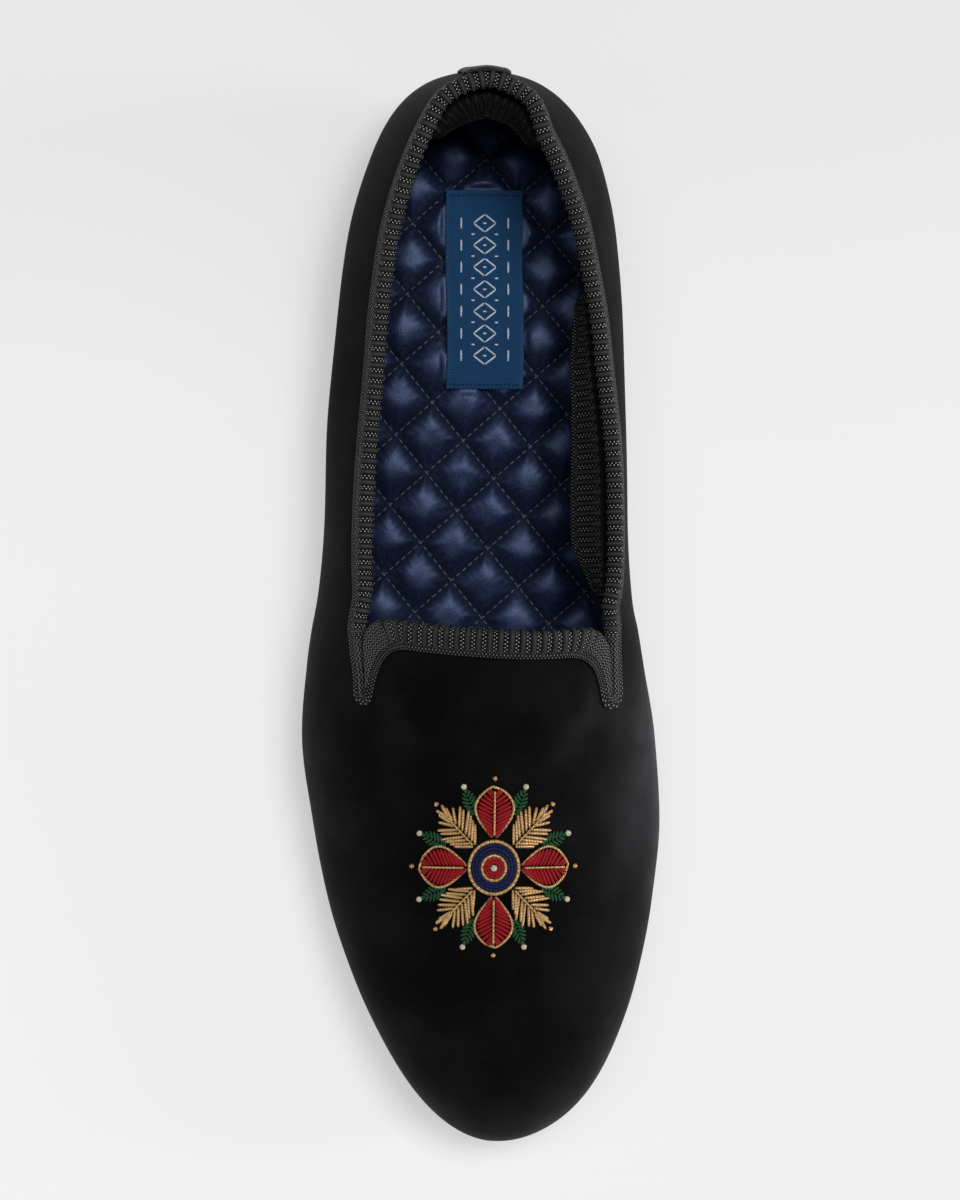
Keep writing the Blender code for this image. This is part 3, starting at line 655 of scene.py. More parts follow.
def end_tree(tree, geometry, material):
    """Ends a tree with real, smooth geometry in one material."""
    real = add_node(tree, "GeometryNodeRealizeInstances", {0: geometry}).outputs[0]
    smoothed = add_node(tree, "GeometryNodeSetShadeSmooth", {0: real}).outputs[0]
    dressed = add_node(tree, "GeometryNodeSetMaterial", {0: smoothed, "Material": material}).outputs[0]
    add_node(tree, "NodeGroupOutput", {0: dressed})


def run_tree(obj, tree, named, values):
    """Runs a tree on an object with values for its named inputs, and keeps the result as a plain mesh."""
    modifier = obj.modifiers.new(tree.name, "NODES")
    modifier.node_group = tree
    for name, value in values.items():
        modifier[named[name]] = value
    return plain(obj)


# Materials

def velvet_material():
    """Short pile: black face on, greyed by a painted sheen where seen along the slope, most on the vamp's
    inner side.
    """
    made, tree, shader = new_material(
        "black velvet", 0.92, Sheen_Weight=0.07, Sheen_Roughness=0.36, Sheen_Tint=(0.62, 0.59, 0.64, 1),
        Specular_IOR_Level=0.05,
    )
    tone, grain = grain_of(tree, 55.0, 2600.0)
    shade = soft_step(tone, 0.35, 0.68)
    colour = mix_colour(shade, (0.0014, 0.0013, 0.0016), (0.0038, 0.0036, 0.0041))
    speck = times(soft_step(grain, 0.45, 0.75), 0.35)
    colour = mix_colour(speck, colour, (0.006, 0.006, 0.007))
    # Painted sheen: the colour greys where the surface is seen along its slope, by the painted sheen share
    # on the points, mottled by grain and tone.
    slope = add_node(tree, "ShaderNodeLayerWeight", {"Blend": 0.5}).outputs["Facing"]
    raised = times(maths("POWER", slope, 1.5), painted(tree, "painted_sheen"))
    sheen_mottling = times(stretched(grain, 0.9, 0.55), stretched(shade, 0.5, 0.75))
    colour = mix_colour(times(raised, sheen_mottling, clamp=True), colour, (0.125, 0.120, 0.130))
    dress(shader, colour, grain, 0.18 * MM, 0.4)
    return made


def lining_material():
    made, tree, shader = new_material("charcoal lining", 0.8, Specular_IOR_Level=0.06)
    tone, grain = grain_of(tree, 70.0, 1300.0)
    colour = mix_colour(tone, (0.006, 0.006, 0.009), (0.012, 0.012, 0.018))
    dress(shader, colour, grain, 0.2 * MM, 0.5)
    return made


def ribbon_material():
    """Smooth bars with dotted grooves between, a looped selvage and a knit where the ribbon turns, with
    painted shade.
    """
    made, tree, shader = new_material("charcoal ribbed ribbon", 0.55, Specular_IOR_Level=0.12)
    ribs, across = weave_place(tree, "weave")
    selvage, ribbed = painted(tree, "selvage"), painted(tree, "rib")
    phase = maths("FRACT", ribs)
    groove_end = maths("SUBTRACT", 1.0, soft_step(phase, 0.94, 1.0))
    groove = times(soft_step(phase, 0.55, 0.62), groove_end)
    dots = times(wave(across, 1.05), wave(phase, 0.4))
    loops = times(wave(ribs, 1 / 3), wave(across, 1.5))
    turned = maths("SUBTRACT", 1.0, ribbed, clamp=True)
    knitted = soft_step(turned, 0.2, 0.7)
    zigzag = maths("FRACT", times(ribs, 2.0))
    zigzag = maths("ABSOLUTE", stretched(zigzag, 2.0, -1.0))
    rows = stretched(zigzag, 0.7, maths("DIVIDE", across, 0.95))
    knit = plus(wave(rows, 1.0), -0.12)
    pattern = mix_value(selvage, mix_value(knitted, dots, knit), loops)
    mask = maths("MAXIMUM", maths("MAXIMUM", groove, turned), selvage)
    tone, grain = grain_of(tree, 120.0, 2200.0)
    bar = mix_colour(tone, (0.024, 0.0235, 0.023), (0.042, 0.041, 0.040))
    # Painted shade: each bar darkens to almost black towards its flanks, and the grooves, selvage and knit
    # get a near-black ground, part the weave's own colour and part painted shade.
    crown = maths("MAXIMUM", wave(phase, 2 * RIB_BAR_SHARE), 0.0)
    flank = times(maths("POWER", maths("SUBTRACT", 1.0, crown), 0.5), ribbed)
    shade = maths("MAXIMUM", times(mask, 0.92), times(flank, 0.96))
    colour = mix_colour(shade, bar, (0.0012, 0.0012, 0.0012))
    # The dots in the grooves, the selvage's loops and the knit are drawn in pale yarn colours: partly the
    # yarn's own lighter colour and partly painted glints where it crosses.
    yarn = mix_colour(knitted, (0.480, 0.468, 0.452), (0.220, 0.214, 0.208))
    colour = mix_colour(times(mask, soft_step(pattern, 0.46, 0.85)), colour, yarn)
    # Painted shade: inside the shoe the ribbon darkens to almost black, most in the trench and at the heel,
    # by the share kept as its inside attribute.
    colour = mix_colour(painted(tree, "inside"), colour, (0.0015, 0.0015, 0.002))
    height = plus(times(pattern, mask), times(grain, 0.5))
    dress(shader, colour, height, 0.25 * MM, 0.9)
    return made


def strip_material():
    made, tree, shader = new_material("charcoal plain ribbon", 0.6, Specular_IOR_Level=0.3)
    aside, _, up = parts_of(object_place(tree))
    weave = plus(wave(up, 0.9 * MM), wave(aside, 0.6 * MM))
    weave = stretched(weave, 0.25, 0.5)
    tone, _ = grain_of(tree, 90.0, 1500.0)
    colour = mix_colour(weave, (0.005, 0.005, 0.005), (0.020, 0.019, 0.018))
    colour = mix_colour(times(tone, 0.4), colour, (0.010, 0.010, 0.010))
    dress(shader, colour, weave, 0.18 * MM, 0.7)
    return made


def satin_material():
    """Glossy navy cloth, rough along the seams and almost black there with painted shade."""
    roughness, seam_roughness = 0.46, 0.91
    made, tree, shader = new_material(
        "navy satin", roughness, Specular_IOR_Level=0.64, Specular_Tint=(0.42, 0.58, 1.0, 1),
    )
    tone, grain = grain_of(tree, 90.0, 1500.0)
    yarn_scale = (2200.0, 1300.0, 1300.0)
    place = add_node(tree, "ShaderNodeMapping", {0: object_place(tree), 3: yarn_scale}).outputs[0]
    noise = add_node(tree, "ShaderNodeTexNoise", {"Vector": place, "Scale": 1.0, "Detail": 1.0})
    yarn = noise.outputs["Fac"]
    seam = painted(tree, "seam")
    colour = mix_colour(tone, (0.005, 0.007, 0.035), (0.008, 0.011, 0.051))
    colour = mix_colour(soft_step(yarn, 0.40, 0.62), colour, (0.002, 0.003, 0.013))
    # Painted shade: the cloth goes almost black along the seams, where the valleys lie.
    colour = mix_colour(times(seam, 0.95), colour, (0.001, 0.0015, 0.006))
    rough = stretched(seam, seam_roughness - roughness, roughness)
    tree.links.new(rough, shader.inputs["Roughness"])
    dress(shader, colour, plus(yarn, times(grain, 0.4)), 0.14 * MM, 0.35)
    return made


def thread_material(name, dark, light, roughness, metallic):
    """Thread wound in fine turns along each strand's own length, with painted shade between the turns and
    painted highlight on them.
    """
    made, tree, shader = new_material(name, roughness, Metallic=metallic, Specular_IOR_Level=0.2 + metallic)
    along, around = weave_place(tree, "strand")
    run = times(along, painted(tree, "strand_length"))
    coil = stretched(wave(stretched(run, 1 / THREAD_TURN, around), 1.0), 0.5, 0.5)
    tone, _ = grain_of(tree, 400.0, 3000.0)
    # Painted shade and highlight: the colour runs from dark to light round each turn, varied by the tone.
    share = times(coil, stretched(tone, 0.8, 0.5), clamp=True)
    dress(shader, mix_colour(share, dark, light), coil, 0.12 * MM, 0.8)
    return made


def label_material():
    """Plain weave with a looped edge."""
    made, tree, shader = new_material("blue woven label", 0.6, Specular_IOR_Level=0.1)
    across, along = weave_place(tree, "weave")
    slanted = plus(across, along)
    weave = stretched(plus(wave(slanted, 0.5), wave(along, 0.42)), 0.25, 0.5)
    tone, _ = grain_of(tree, 120.0, 2500.0)
    colour = mix_colour(weave, (0.0035, 0.028, 0.084), (0.009, 0.054, 0.142))
    colour = mix_colour(times(tone, 0.5), colour, (0.007, 0.045, 0.112))
    edge, loops = painted(tree, "edge"), wave(slanted, 0.9)
    looped = times(edge, soft_step(loops, -0.2, 0.6))
    colour = mix_colour(looped, colour, (0.030, 0.085, 0.150))
    dress(shader, colour, plus(weave, times(edge, loops)), 0.14 * MM, 0.7)
    return made


def leather_material(name, dark, light, roughness):
    made, tree, shader = new_material(name, roughness, Specular_IOR_Level=0.4)
    tone, grain = grain_of(tree, 60.0, 800.0)
    colour = mix_colour(soft_step(tone, 0.3, 0.7), dark, light)
    tree.links.new(stretched(tone, 0.25, roughness - 0.12), shader.inputs["Roughness"])
    pores = add_node(tree, "ShaderNodeTexVoronoi", {"Vector": object_place(tree), "Scale": 900.0})
    dress(shader, colour, plus(pores.outputs["Distance"], grain), 0.15 * MM, 0.4)
    return made


VELVET = velvet_material()
LINING = lining_material()
RIBBON = ribbon_material()
STRIP = strip_material()
SATIN = satin_material()
LABEL = label_material()
LEATHERS = {
    "outsole": leather_material("black sole leather", (0.010, 0.009, 0.008), (0.022, 0.020, 0.018), 0.55),
    "heel": leather_material("black heel leather", (0.008, 0.007, 0.007), (0.016, 0.015, 0.014), 0.5),
}
# Each thread: its name, its painted shade and painted highlight colours, its roughness and how metallic it
# is.
THREADS = {
    thread: thread_material(*values) for thread, *values in (
        ("quilting", "grey quilting thread", (0.025, 0.03, 0.05), (0.17, 0.185, 0.25), 0.5, 0.0),
        ("gold", "gold bullion", (0.10, 0.036, 0.007), (1.0, 0.63, 0.26), 0.28, 0.4),
        ("red", "red silk thread", (0.08, 0.001, 0.003), (0.50, 0.010, 0.016), 0.6, 0.0),
        ("navy", "navy silk thread", (0.002, 0.003, 0.018), (0.011, 0.017, 0.085), 0.6, 0.0),
        ("green", "green silk thread", (0.004, 0.022, 0.010), (0.020, 0.110, 0.040), 0.6, 0.0),
        ("white", "white woven yarn", (0.34, 0.38, 0.44), (0.80, 0.84, 0.90), 0.6, 0.0),
        ("cream", "cream silk thread", (0.30, 0.24, 0.15), (0.80, 0.72, 0.55), 0.45, 0.0),
    )
}


# Opening of the upper

def half_circle(count):
    """Stations round the half of a slit's end that one edge passes."""
    return SLIT_TIP_STATION - SLIT_HALF_GAP * (1 - np.sin(np.linspace(0, np.pi / 2, count)))


def quarter_stations(to_throat, to_slit, round_slit):
    """Stations along the quarter's edge, from the heel to the slit's end, in the counts given."""
    return np.concatenate([
        station_of(np.linspace(0, turn_of(THROAT_STATION), to_throat)),
        np.linspace(THROAT_STATION, SLIT_TIP_STATION - SLIT_HALF_GAP, to_slit)[1:-1],
        half_circle(round_slit),
    ])


def run_along(points):
    """Length of a line of points up to each of them."""
    return np.append(0, np.cumsum(np.linalg.norm(np.diff(points, axis=0), axis=1)))


def edge_half(side):
    """One side of the opening's edge, from the heel round the slit to the middle of the throat.

    The columns are the place, the normal, the ribbon's width outside and inside, how far it flares,
    how much it is ribbed, and the way along the edge to the throat's corner.
    """
    quarter = quarter_stations(260, 50, 14)
    start = float(throat_station(side, 0.0))
    back = np.concatenate([
        half_circle(14)[-2::-1], np.linspace(SLIT_TIP_STATION - SLIT_HALF_GAP, start, 40)[1:-1],
    ])
    across = np.linspace(0, 1, 160) ** ACROSS_POWER
    throat = throat_station(side, across)
    vamp_edge = edge_level(throat, side, 1)
    levels = np.concatenate([
        edge_level(quarter, side, -1), edge_level(back, side, 1), between(vamp_edge, 2, across),
    ])
    narrow = np.clip((quarter - RIBBON_NARROWS_FROM) / (THROAT_STATION - RIBBON_NARROWS_FROM), 0, 1)
    to_tip = smooth(THROAT_STATION, SLIT_TIP_STATION, quarter)
    from_tip = smooth(SLIT_TIP_STATION, start, back)
    at_tip = RIBBON_AT_TIP[side]
    outer = np.concatenate([
        between(RIBBON_AT_QUARTER, RIBBON_AT_SLIT, narrow) + (at_tip - RIBBON_AT_SLIT) * to_tip,
        between(at_tip, RIBBON_AT_CORNER, from_tip),
        between(RIBBON_AT_CORNER, RIBBON_AT_THROAT, smooth(0.0, 0.26, across)),
    ])
    past_slit = len(back) + len(throat)
    inner = between(RIBBON_INNER_LEG, RIBBON_VAMP_LEG, narrow)
    inner = np.append(inner, np.full(past_slit, RIBBON_VAMP_LEG))
    reach = np.append(FLARE_REACH[side](quarter) * (1 - narrow**2), np.zeros(past_slit))
    ribbed = np.concatenate([
        between(1, KNIT_RIBBING, smooth(THROAT_STATION - 2 * MM, THROAT_STATION + 8 * MM, quarter)),
        np.full(len(back), KNIT_RIBBING), between(KNIT_RIBBING, 1, smooth(0.08, 0.30, across)),
    ])
    turns = turn_of(np.concatenate([quarter, back, throat]))
    points = wall_point(turns, side, levels)
    run = run_along(points)
    to_corner = np.abs(run - run[-len(throat)] - math.pi / 4 * THROAT_CORNER_RADIUS)
    values = np.stack([outer, inner, reach, ribbed, to_corner], axis=1)
    return np.hstack([points, wall_normal(turns, side, levels), values])


def opening_edge():
    """The opening's edge from the heel by the inner side, in evenly spaced points, and its length."""
    loop = np.vstack([edge_half(MEDIAL), edge_half(LATERAL)[-2:0:-1]])
    closed = np.vstack([loop, loop[:1]])
    run = run_along(closed[:, :3])
    count = round(run[-1] / RIB_PITCH) * round(RIB_PITCH / RIBBON_RING_STEP)
    even = np.linspace(0, run[-1], count, endpoint=False)
    made = np.stack([np.interp(even, run, values) for values in closed.T], axis=1)
    made[:, 3:6] = unit(made[:, 3:6])
    return made, run[-1]


def softened(values, reach):
    """Values round a closed loop, each a mean over its neighbours."""
    weights = np.hanning(2 * reach + 3)[1:-1]
    weights /= weights.sum()
    return sum(w * np.roll(values, k - reach, axis=0) for k, w in enumerate(weights))


OPENING, OPENING_LENGTH = opening_edge()


# Velvet upper

def upper_grids():
    """Grids of points over both sides: the wall up to the collar, then the vamp up to the ridge."""
    toe = station_of(np.append(np.linspace(turn_of(SLIT_TIP_STATION), 0.975, 62)[1:], 1))
    wall_stations = np.append(quarter_stations(84, 14, 7), toe)
    below = np.linspace(0, 1, 12)
    above = 1 - (1 - np.linspace(0, 1, 17)[1:]) ** 1.25
    across = np.linspace(0, 1, 34) ** ACROSS_POWER
    for side in (LATERAL, MEDIAL):
        edge = edge_level(wall_stations, side, -1)
        levels = np.hstack([np.ones((len(edge), 1)) * below, between(1, edge[:, None], above)])
        yield wall_point(turn_of(wall_stations)[:, None], side, levels), side > 0
        rows = []
        for share in across:
            lead = np.linspace(float(throat_station(side, share)), SLIT_TIP_STATION - SLIT_HALF_GAP, 9)[:-1]
            stations = np.concatenate([lead, half_circle(7), toe])
            levels = between(edge_level(stations, side, 1), 2, share)
            rows.append(wall_point(turn_of(stations), side, levels))
        yield np.array(rows), side < 0


def crease_rise(points):
    """Height of the swells and creases over the upper at points in the last's frame."""
    total = np.zeros(len(points))
    for row in CREASES:
        value = dict(zip(CREASE_COLUMNS, row))
        heading = math.radians(value["heading"])
        ahead = -points[:, 1] / MM - value["station"]
        aside = points[:, 0] / MM - value["x"]
        along = ahead * math.cos(heading) + aside * math.sin(heading)
        across = aside * math.cos(heading) - ahead * math.sin(heading)
        total += value["rise"] * np.exp(-((along / value["run"]) ** 2) - (across / value["width"]) ** 2)
    return total * MM


def painted_sheen_at(points):
    """The share of painted sheen on the velvet: most on the inner side of the vamp and at the toe."""
    x, station = points[:, 0], -points[:, 1]
    on_vamp = smooth(150 * MM, 185 * MM, station)
    inner_side_sheen = smooth(150 * MM, 180 * MM, station) * (1 - smooth(195 * MM, 240 * MM, station))
    at_toe = smooth(240 * MM, 270 * MM, station)
    return 0.04 + 0.12 * on_vamp + 0.32 * inner_side_sheen * smooth(0, 28 * MM, x) + 0.18 * at_toe


def make_upper():
    points, faces, first = [], [], 0
    for grid, turned in upper_grids():
        rows, columns = grid.shape[:2]
        faces.append(grid_quads(rows, columns, first, turned))
        points.append(grid.reshape(-1, 3))
        first += rows * columns
    mesh = merged(new_mesh("velvet_upper", np.vstack(points), np.vstack(faces)))
    near = KDTree(len(OPENING))
    for number, place in enumerate(OPENING[:, :3] + SHIFT):
        near.insert(place, number)
    near.balance()
    place = np.array([v.co for v in mesh.vertices])
    normal = np.array([v.normal for v in mesh.vertices])
    from_edge = np.array([near.find(p)[2] for p in place])
    above_sole = place[:, 2] - sole_top(SHIFT[1] - place[:, 1])
    fade = smooth(*CREASE_FADE_AT_EDGE, from_edge) * smooth(*CREASE_FADE_AT_SOLE, above_sole)
    place += normal * (crease_rise(place - SHIFT) * fade)[:, None]
    mesh.vertices.foreach_set("co", place.ravel())
    mesh.update()
    # The share of painted sheen, kept on the velvet's points.
    point_values(mesh, "painted_sheen", painted_sheen_at(place - SHIFT))
    upper = new_object("velvet_upper", mesh, VELVET, LINING)
    shell = upper.modifiers.new("wall", "SOLIDIFY")
    shell.thickness = WALL
    shell.offset = -1
    shell.material_offset = 1
    return ride_as(plain(upper), "velvet", "upper")


UPPER_TREE = solid_tree(make_upper().data)


# Ribbon

def walk(start, heading, distances):
    """Places and normals at distances along a straight walk over the upper's solid."""
    place, heading = Vector(start + SHIFT), Vector(heading)
    made, done = [], 0.0
    for distance in distances:
        while distance - done > 1e-7:
            move = min(WALK_STEP, distance - done)
            place, normal, _, _ = UPPER_TREE.find_nearest(place + heading * move)
            heading = (heading - normal * heading.dot(normal)).normalized()
            done += move
        made.append((np.array(place) - SHIFT, np.array(normal)))
    return made


def ribbon_outside(edge, inward, outer):
    """Points up the outside of the upper, from the ribbon's flat selvage to the edge."""
    steps = OUTER_SHARES * outer
    climb = np.minimum(
        smooth(0, 2.2 * SELVAGE_WIDTH, outer - steps),
        smooth(0.8 * SELVAGE_WIDTH, 1.4 * SELVAGE_WIDTH, outer - steps),
    )
    heights = between(RIBBON_LIFT, RIBBON_ROLL, climb)
    return [place + up * height for (place, up), height in zip(walk(edge, inward, steps), heights)][::-1]


def ribbon_roll(edge, normal, inward):
    """Points over the edge of the upper, from its outside to its inside."""
    angle = np.radians(np.linspace(8, 172, 9))[:, None]
    over = normal * (WALL / 2 + RIBBON_ROLL) * np.cos(angle) - inward * RIBBON_ROLL_REACH * np.sin(angle)
    return list(edge - normal * WALL / 2 + over)


def ribbon_inside(edge, normal, inward, inner, reach):
    """Points down the inside; where the ribbon flares, its band stands into the shoe past a trench."""
    foot = edge - normal * WALL
    flared = float(smooth(0.6 * MM, 3.0 * MM, reach))
    trench = np.minimum(INNER_SHARES / 0.36, 1) * TRENCH_DEPTH
    into_shoe = unit(-normal * np.array([1, 1, 0]))
    out = reach * between(0.30, 1, np.clip((INNER_SHARES - BAND_FROM) / (1 - BAND_FROM), 0, 1))
    drop = BAND_DROP + BAND_FALL * smooth(BAND_FROM, 1.0, INNER_SHARES)
    loose = flared * smooth(0.33, 0.44, INNER_SHARES)
    points = []
    for k, (place, up) in enumerate(walk(foot, inward, between(inner * INNER_SHARES, trench, flared))):
        band = foot + into_shoe * (RIBBON_LIFT + out[k]) - np.array([0, 0, drop[k]])
        points.append(between(place + up * RIBBON_LIFT, band, loose[k]))
    return points


def round_corner(line, middle, reach):
    """Replaces the stretch of a line about a corner by one bend that is tangent at both ends."""
    first, last, lead = middle - reach, middle + reach, 6
    start, end = line[first].copy(), line[last].copy()
    leaving, arriving = start - line[first - lead], end - line[last + lead]
    steps = np.linalg.lstsq(np.stack([leaving, -arriving], axis=1), end - start, rcond=None)[0]
    peak = start + leaving * steps[0]
    share = np.linspace(0, 1, last - first + 1)[:, None]
    line[first:last + 1] = (1 - share) ** 2 * start + 2 * share * (1 - share) * peak + share**2 * end


def ribbon_front():
    """The ribbon's visible face: rings of points from its outer selvage over the roll to its inner edge."""
    edge, normal = OPENING[:, :3], OPENING[:, 3:6]
    outer, inner, reach, _, to_corner = OPENING[:, 6:].T
    along = softened(np.roll(edge, -1, axis=0) - np.roll(edge, 1, axis=0), 2)
    foot = edge + unit(softened(np.cross(normal, along), 9)) * outer[:, None]
    bend = round(RIBBON_CORNER_ROUND / OPENING_LENGTH * len(edge))
    for side in (LATERAL, MEDIAL):
        round_corner(foot, int(np.argmin(np.where(edge[:, 0] * side > 0, to_corner, np.inf))), bend)
    outer = np.linalg.norm(foot - edge, axis=1)
    inward = unit(foot - edge)
    return softened(np.array([
        ribbon_outside(edge[k], inward[k], outer[k]) + ribbon_roll(edge[k], normal[k], inward[k])
        + ribbon_inside(edge[k], normal[k], inward[k], inner[k], reach[k])
        for k in range(len(edge))
    ]), 1)


def ribbon_marks(front):
    """The way across the face at its points, and how far each is ribbed, in a selvage or in painted shade.
    """
    rings, columns = front.shape[:2]
    station, reach, ribbed = -OPENING[:, 1:2], OPENING[:, 8:9], OPENING[:, 9:10]
    steps = np.linalg.norm(np.diff(front, axis=1), axis=2)
    across = np.hstack([np.zeros((rings, 1)), np.cumsum(steps, axis=1)])
    outer_width = between(SIDE_SELVAGE_WIDTH, SELVAGE_WIDTH, smooth(125 * MM, 145 * MM, station))
    outer_band = 1 - smooth(outer_width * 0.9, outer_width * 1.15, across)
    inner_band = smooth(-1.5 * MM, -1.2 * MM, across - across[:, -1:])
    selvage = np.maximum(outer_band, inner_band)
    flared = smooth(1.0 * MM, 4.0 * MM, reach)
    number = np.arange(columns) - (columns - len(INNER_SHARES))
    groove = (number > 0) & (number < 6)
    ribs = ribbed * (1 - selvage) * (1 - groove * flared)
    # Painted shade for the ribbon inside the shoe: stronger at the heel, and deepest in the trench where
    # the band flares.
    at_heel = 1 - smooth(25 * MM, 45 * MM, station)
    on_inside = np.clip(number, 0, 1) * np.ones((rings, 1))
    deep = on_inside * (1 - smooth(4, 13, number))
    shade = between(0.45, 0.9, at_heel) * on_inside + between(0.5, 0.1, at_heel) * deep * flared
    return across, ribs, selvage, shade


def ribs_tree():
    """Raises bars across a ribbon: pitch, height and the share of the pitch that each bar takes."""
    inputs = [(name, "Float") for name in ("Pitch", "Height", "Bar share")]
    tree, named, given = new_geometry_tree("ribbon ribs", inputs)
    phase = maths("FRACT", maths("DIVIDE", carried(tree, "run"), given["Pitch"]))
    bar = maths("DIVIDE", phase, given["Bar share"], clamp=True)
    bar = maths("POWER", wave(bar, 2.0), 0.6)
    height = times(times(bar, carried(tree, "rib")), given["Height"])
    normal = add_node(tree, "GeometryNodeInputNormal").outputs[0]
    move = add_node(tree, "ShaderNodeVectorMath", {0: normal, "Scale": height}, operation="SCALE")
    places = {"Geometry": given[0], "Offset": move.outputs[0]}
    moved = add_node(tree, "GeometryNodeSetPosition", places).outputs[0]
    end_tree(tree, moved, RIBBON)
    return tree, named


def make_ribbon():
    """The ribbon's face with a thin back, its ribs raised."""
    front = ribbon_front()
    rings, columns = front.shape[:2]
    along = np.roll(front, -1, axis=0) - np.roll(front, 1, axis=0)
    face_normal = unit(np.cross(np.gradient(front, axis=1), along))
    outward = np.sign((face_normal[:, 0] * OPENING[:, 3:6]).sum(axis=1).mean())
    kept = np.arange(columns - 1, -1, -3)
    back = (front - face_normal * outward * RIBBON_BACK)[:, kept]
    points = np.hstack([front, back])
    count = points.shape[1]
    mesh = new_mesh("ribbed_ribbon", points, grid_quads(rings, count, close_rows=True, close_columns=True))
    merged(mesh, 1e-9, outward=True)
    across, ribs, selvage, shade = ribbon_marks(front)
    run = np.linspace(0, OPENING_LENGTH, rings, endpoint=False)
    bare = np.zeros((rings, len(kept)))
    point_values(mesh, "run", np.repeat(run, count))
    point_values(mesh, "rib", np.hstack([ribs, bare]))
    point_values(mesh, "selvage", np.hstack([selvage, bare]))
    # The painted shade inside the shoe, on the face and on the back.
    point_values(mesh, "inside", np.hstack([shade, shade[:, kept]]))
    pitch = OPENING_LENGTH / round(OPENING_LENGTH / RIB_PITCH)
    ring, col = np.divmod(corner_points(mesh), count)
    quads = ring.reshape(-1, 4)
    over_join = (quads == rings - 1).any(axis=1, keepdims=True) & (quads == 0)
    u = (run[ring] + np.where(over_join.ravel(), OPENING_LENGTH, 0)) / pitch
    v = np.hstack([across, across[:, kept]])[ring, col] / MM
    corner_values(mesh, "weave", np.stack([u, v], axis=1))
    ribbon = new_object("ribbed_ribbon", mesh, RIBBON)
    tree, named = ribs_tree()
    run_tree(ribbon, tree, named, {"Pitch": pitch, "Height": RIB_HEIGHT, "Bar share": RIB_BAR_SHARE})
    ride_as(ribbon, "ribbon", "collar_binding")


make_ribbon()


# Back strip

def make_back_strip():
    """A strip over the back seam, from near the sole up over the ribbon."""
    turns = np.linspace(0, 0.2, 400)
    across = np.linspace(-1, 1, 17)
    column_turns = np.interp(np.abs(across) * STRIP_WIDTH / 2, section("lateral", turns), turns)
    edge = float(edge_level(0.0, MEDIAL, -1))
    top = edge + float(level_step(0.0, MEDIAL, edge, STRIP_PAST_EDGE))
    edge_height = wall_point(0.0, MEDIAL, edge)[2]
    swell = STRIP_THICKNESS * (1 - 0.55 * np.abs(across) ** 8)
    swell += STRIP_SEAM_HEIGHT * np.exp(-(((np.abs(across) - 0.8) / 0.08) ** 2))
    rings = []
    for level in np.append(np.linspace(STRIP_FOOT_LEVEL, 1, 18), np.linspace(1, top, 34)[1:]):
        below_ribbon = edge_height - wall_point(0.0, MEDIAL, level)[2] - RIBBON_AT_QUARTER
        lift = between(GAP, STRIP_OVER_RIBBON, float(smooth(5.4 * MM, 0.6 * MM, below_ribbon)))
        outer, inner = [], []
        for turn, share, height in zip(column_turns, across, swell):
            side = MEDIAL if share > 0 else LATERAL
            place, normal = wall_point(turn, side, level), wall_normal(turn, side, level)
            outer.append(place + normal * (lift + height))
            inner.append(place + normal * lift)
        rings.append(outer + inner[::-1])
    rings = np.array(rings)
    count = rings.shape[1]
    faces = [list(f) for f in grid_quads(len(rings), count, close_columns=True)]
    faces += [list(range(count))[::-1], list(range(count * (len(rings) - 1), count * len(rings)))]
    mesh = merged(new_mesh("heel_strip", rings, faces), outward=True)
    ride_as(new_object("heel_strip", mesh, STRIP), "strip", "back_strip")


make_back_strip()


# Quilted insole

def insole_edge(turn, side):
    """Edge of the pad at its foot, over the turned-in cloth and at its top."""
    station, x = feather(turn, side, INSOLE_FOOT_INSET)
    base = sole_top(station) + GAP
    levels = np.linspace(0.02, 0.9, 60)
    turns = np.full_like(levels, turn)
    inside = wall_point(turns, side, levels) - wall_normal(turns, side, levels) * (WALL + INSOLE_CLEARANCE)
    top = [np.interp(base + INSOLE_THICKNESS, inside[:, 2], inside[:, axis]) for axis in range(2)]
    return (x, -station, base), (x, -station, base + WALL), (*top, base + INSOLE_THICKNESS)


QUILT_STEPS = np.array([QUILT_ACROSS, QUILT_ALONG])
TO_QUILT = np.linalg.inv(QUILT_STEPS)
QUILT_SIDE = np.linalg.norm(QUILT_STEPS.sum(axis=0)) / 2


def quilt_coordinates(x, station):
    """Counts of squares along both ways of the quilting; its seams lie half way between whole numbers."""
    aside, ahead = x - QUILT_CENTRE[0], station - QUILT_CENTRE[1]
    a, b = (aside * TO_QUILT[0, k] + ahead * TO_QUILT[1, k] for k in range(2))
    return a + b, a - b


def quilt_place(u, v):
    """Plan position (x, station) at counts of squares."""
    return np.array(QUILT_CENTRE) + (u + v) / 2 * QUILT_STEPS[0] + (u - v) / 2 * QUILT_STEPS[1]


def label_cover(x, station):
    """1 under the label and 0 a little way from it."""
    aside = np.abs(x - LABEL_X) - LABEL_WIDTH / 2
    ahead = np.abs(station - LABEL_STATION) - LABEL_LENGTH / 2
    return 1 - smooth(*LABEL_PRESSES, np.maximum(aside, ahead))


def label_rise(x, station):
    """Height of the label's underside over the pad's flat top: it follows the squares it is pressed on."""
    u, v = quilt_coordinates(x, station)
    return LABEL_LOW + LABEL_SWELL * (1 + np.cos(2 * np.pi * u)) * (1 + np.cos(2 * np.pi * v))


def bell(distance, reach):
    return np.exp(-((distance / reach) ** 2))


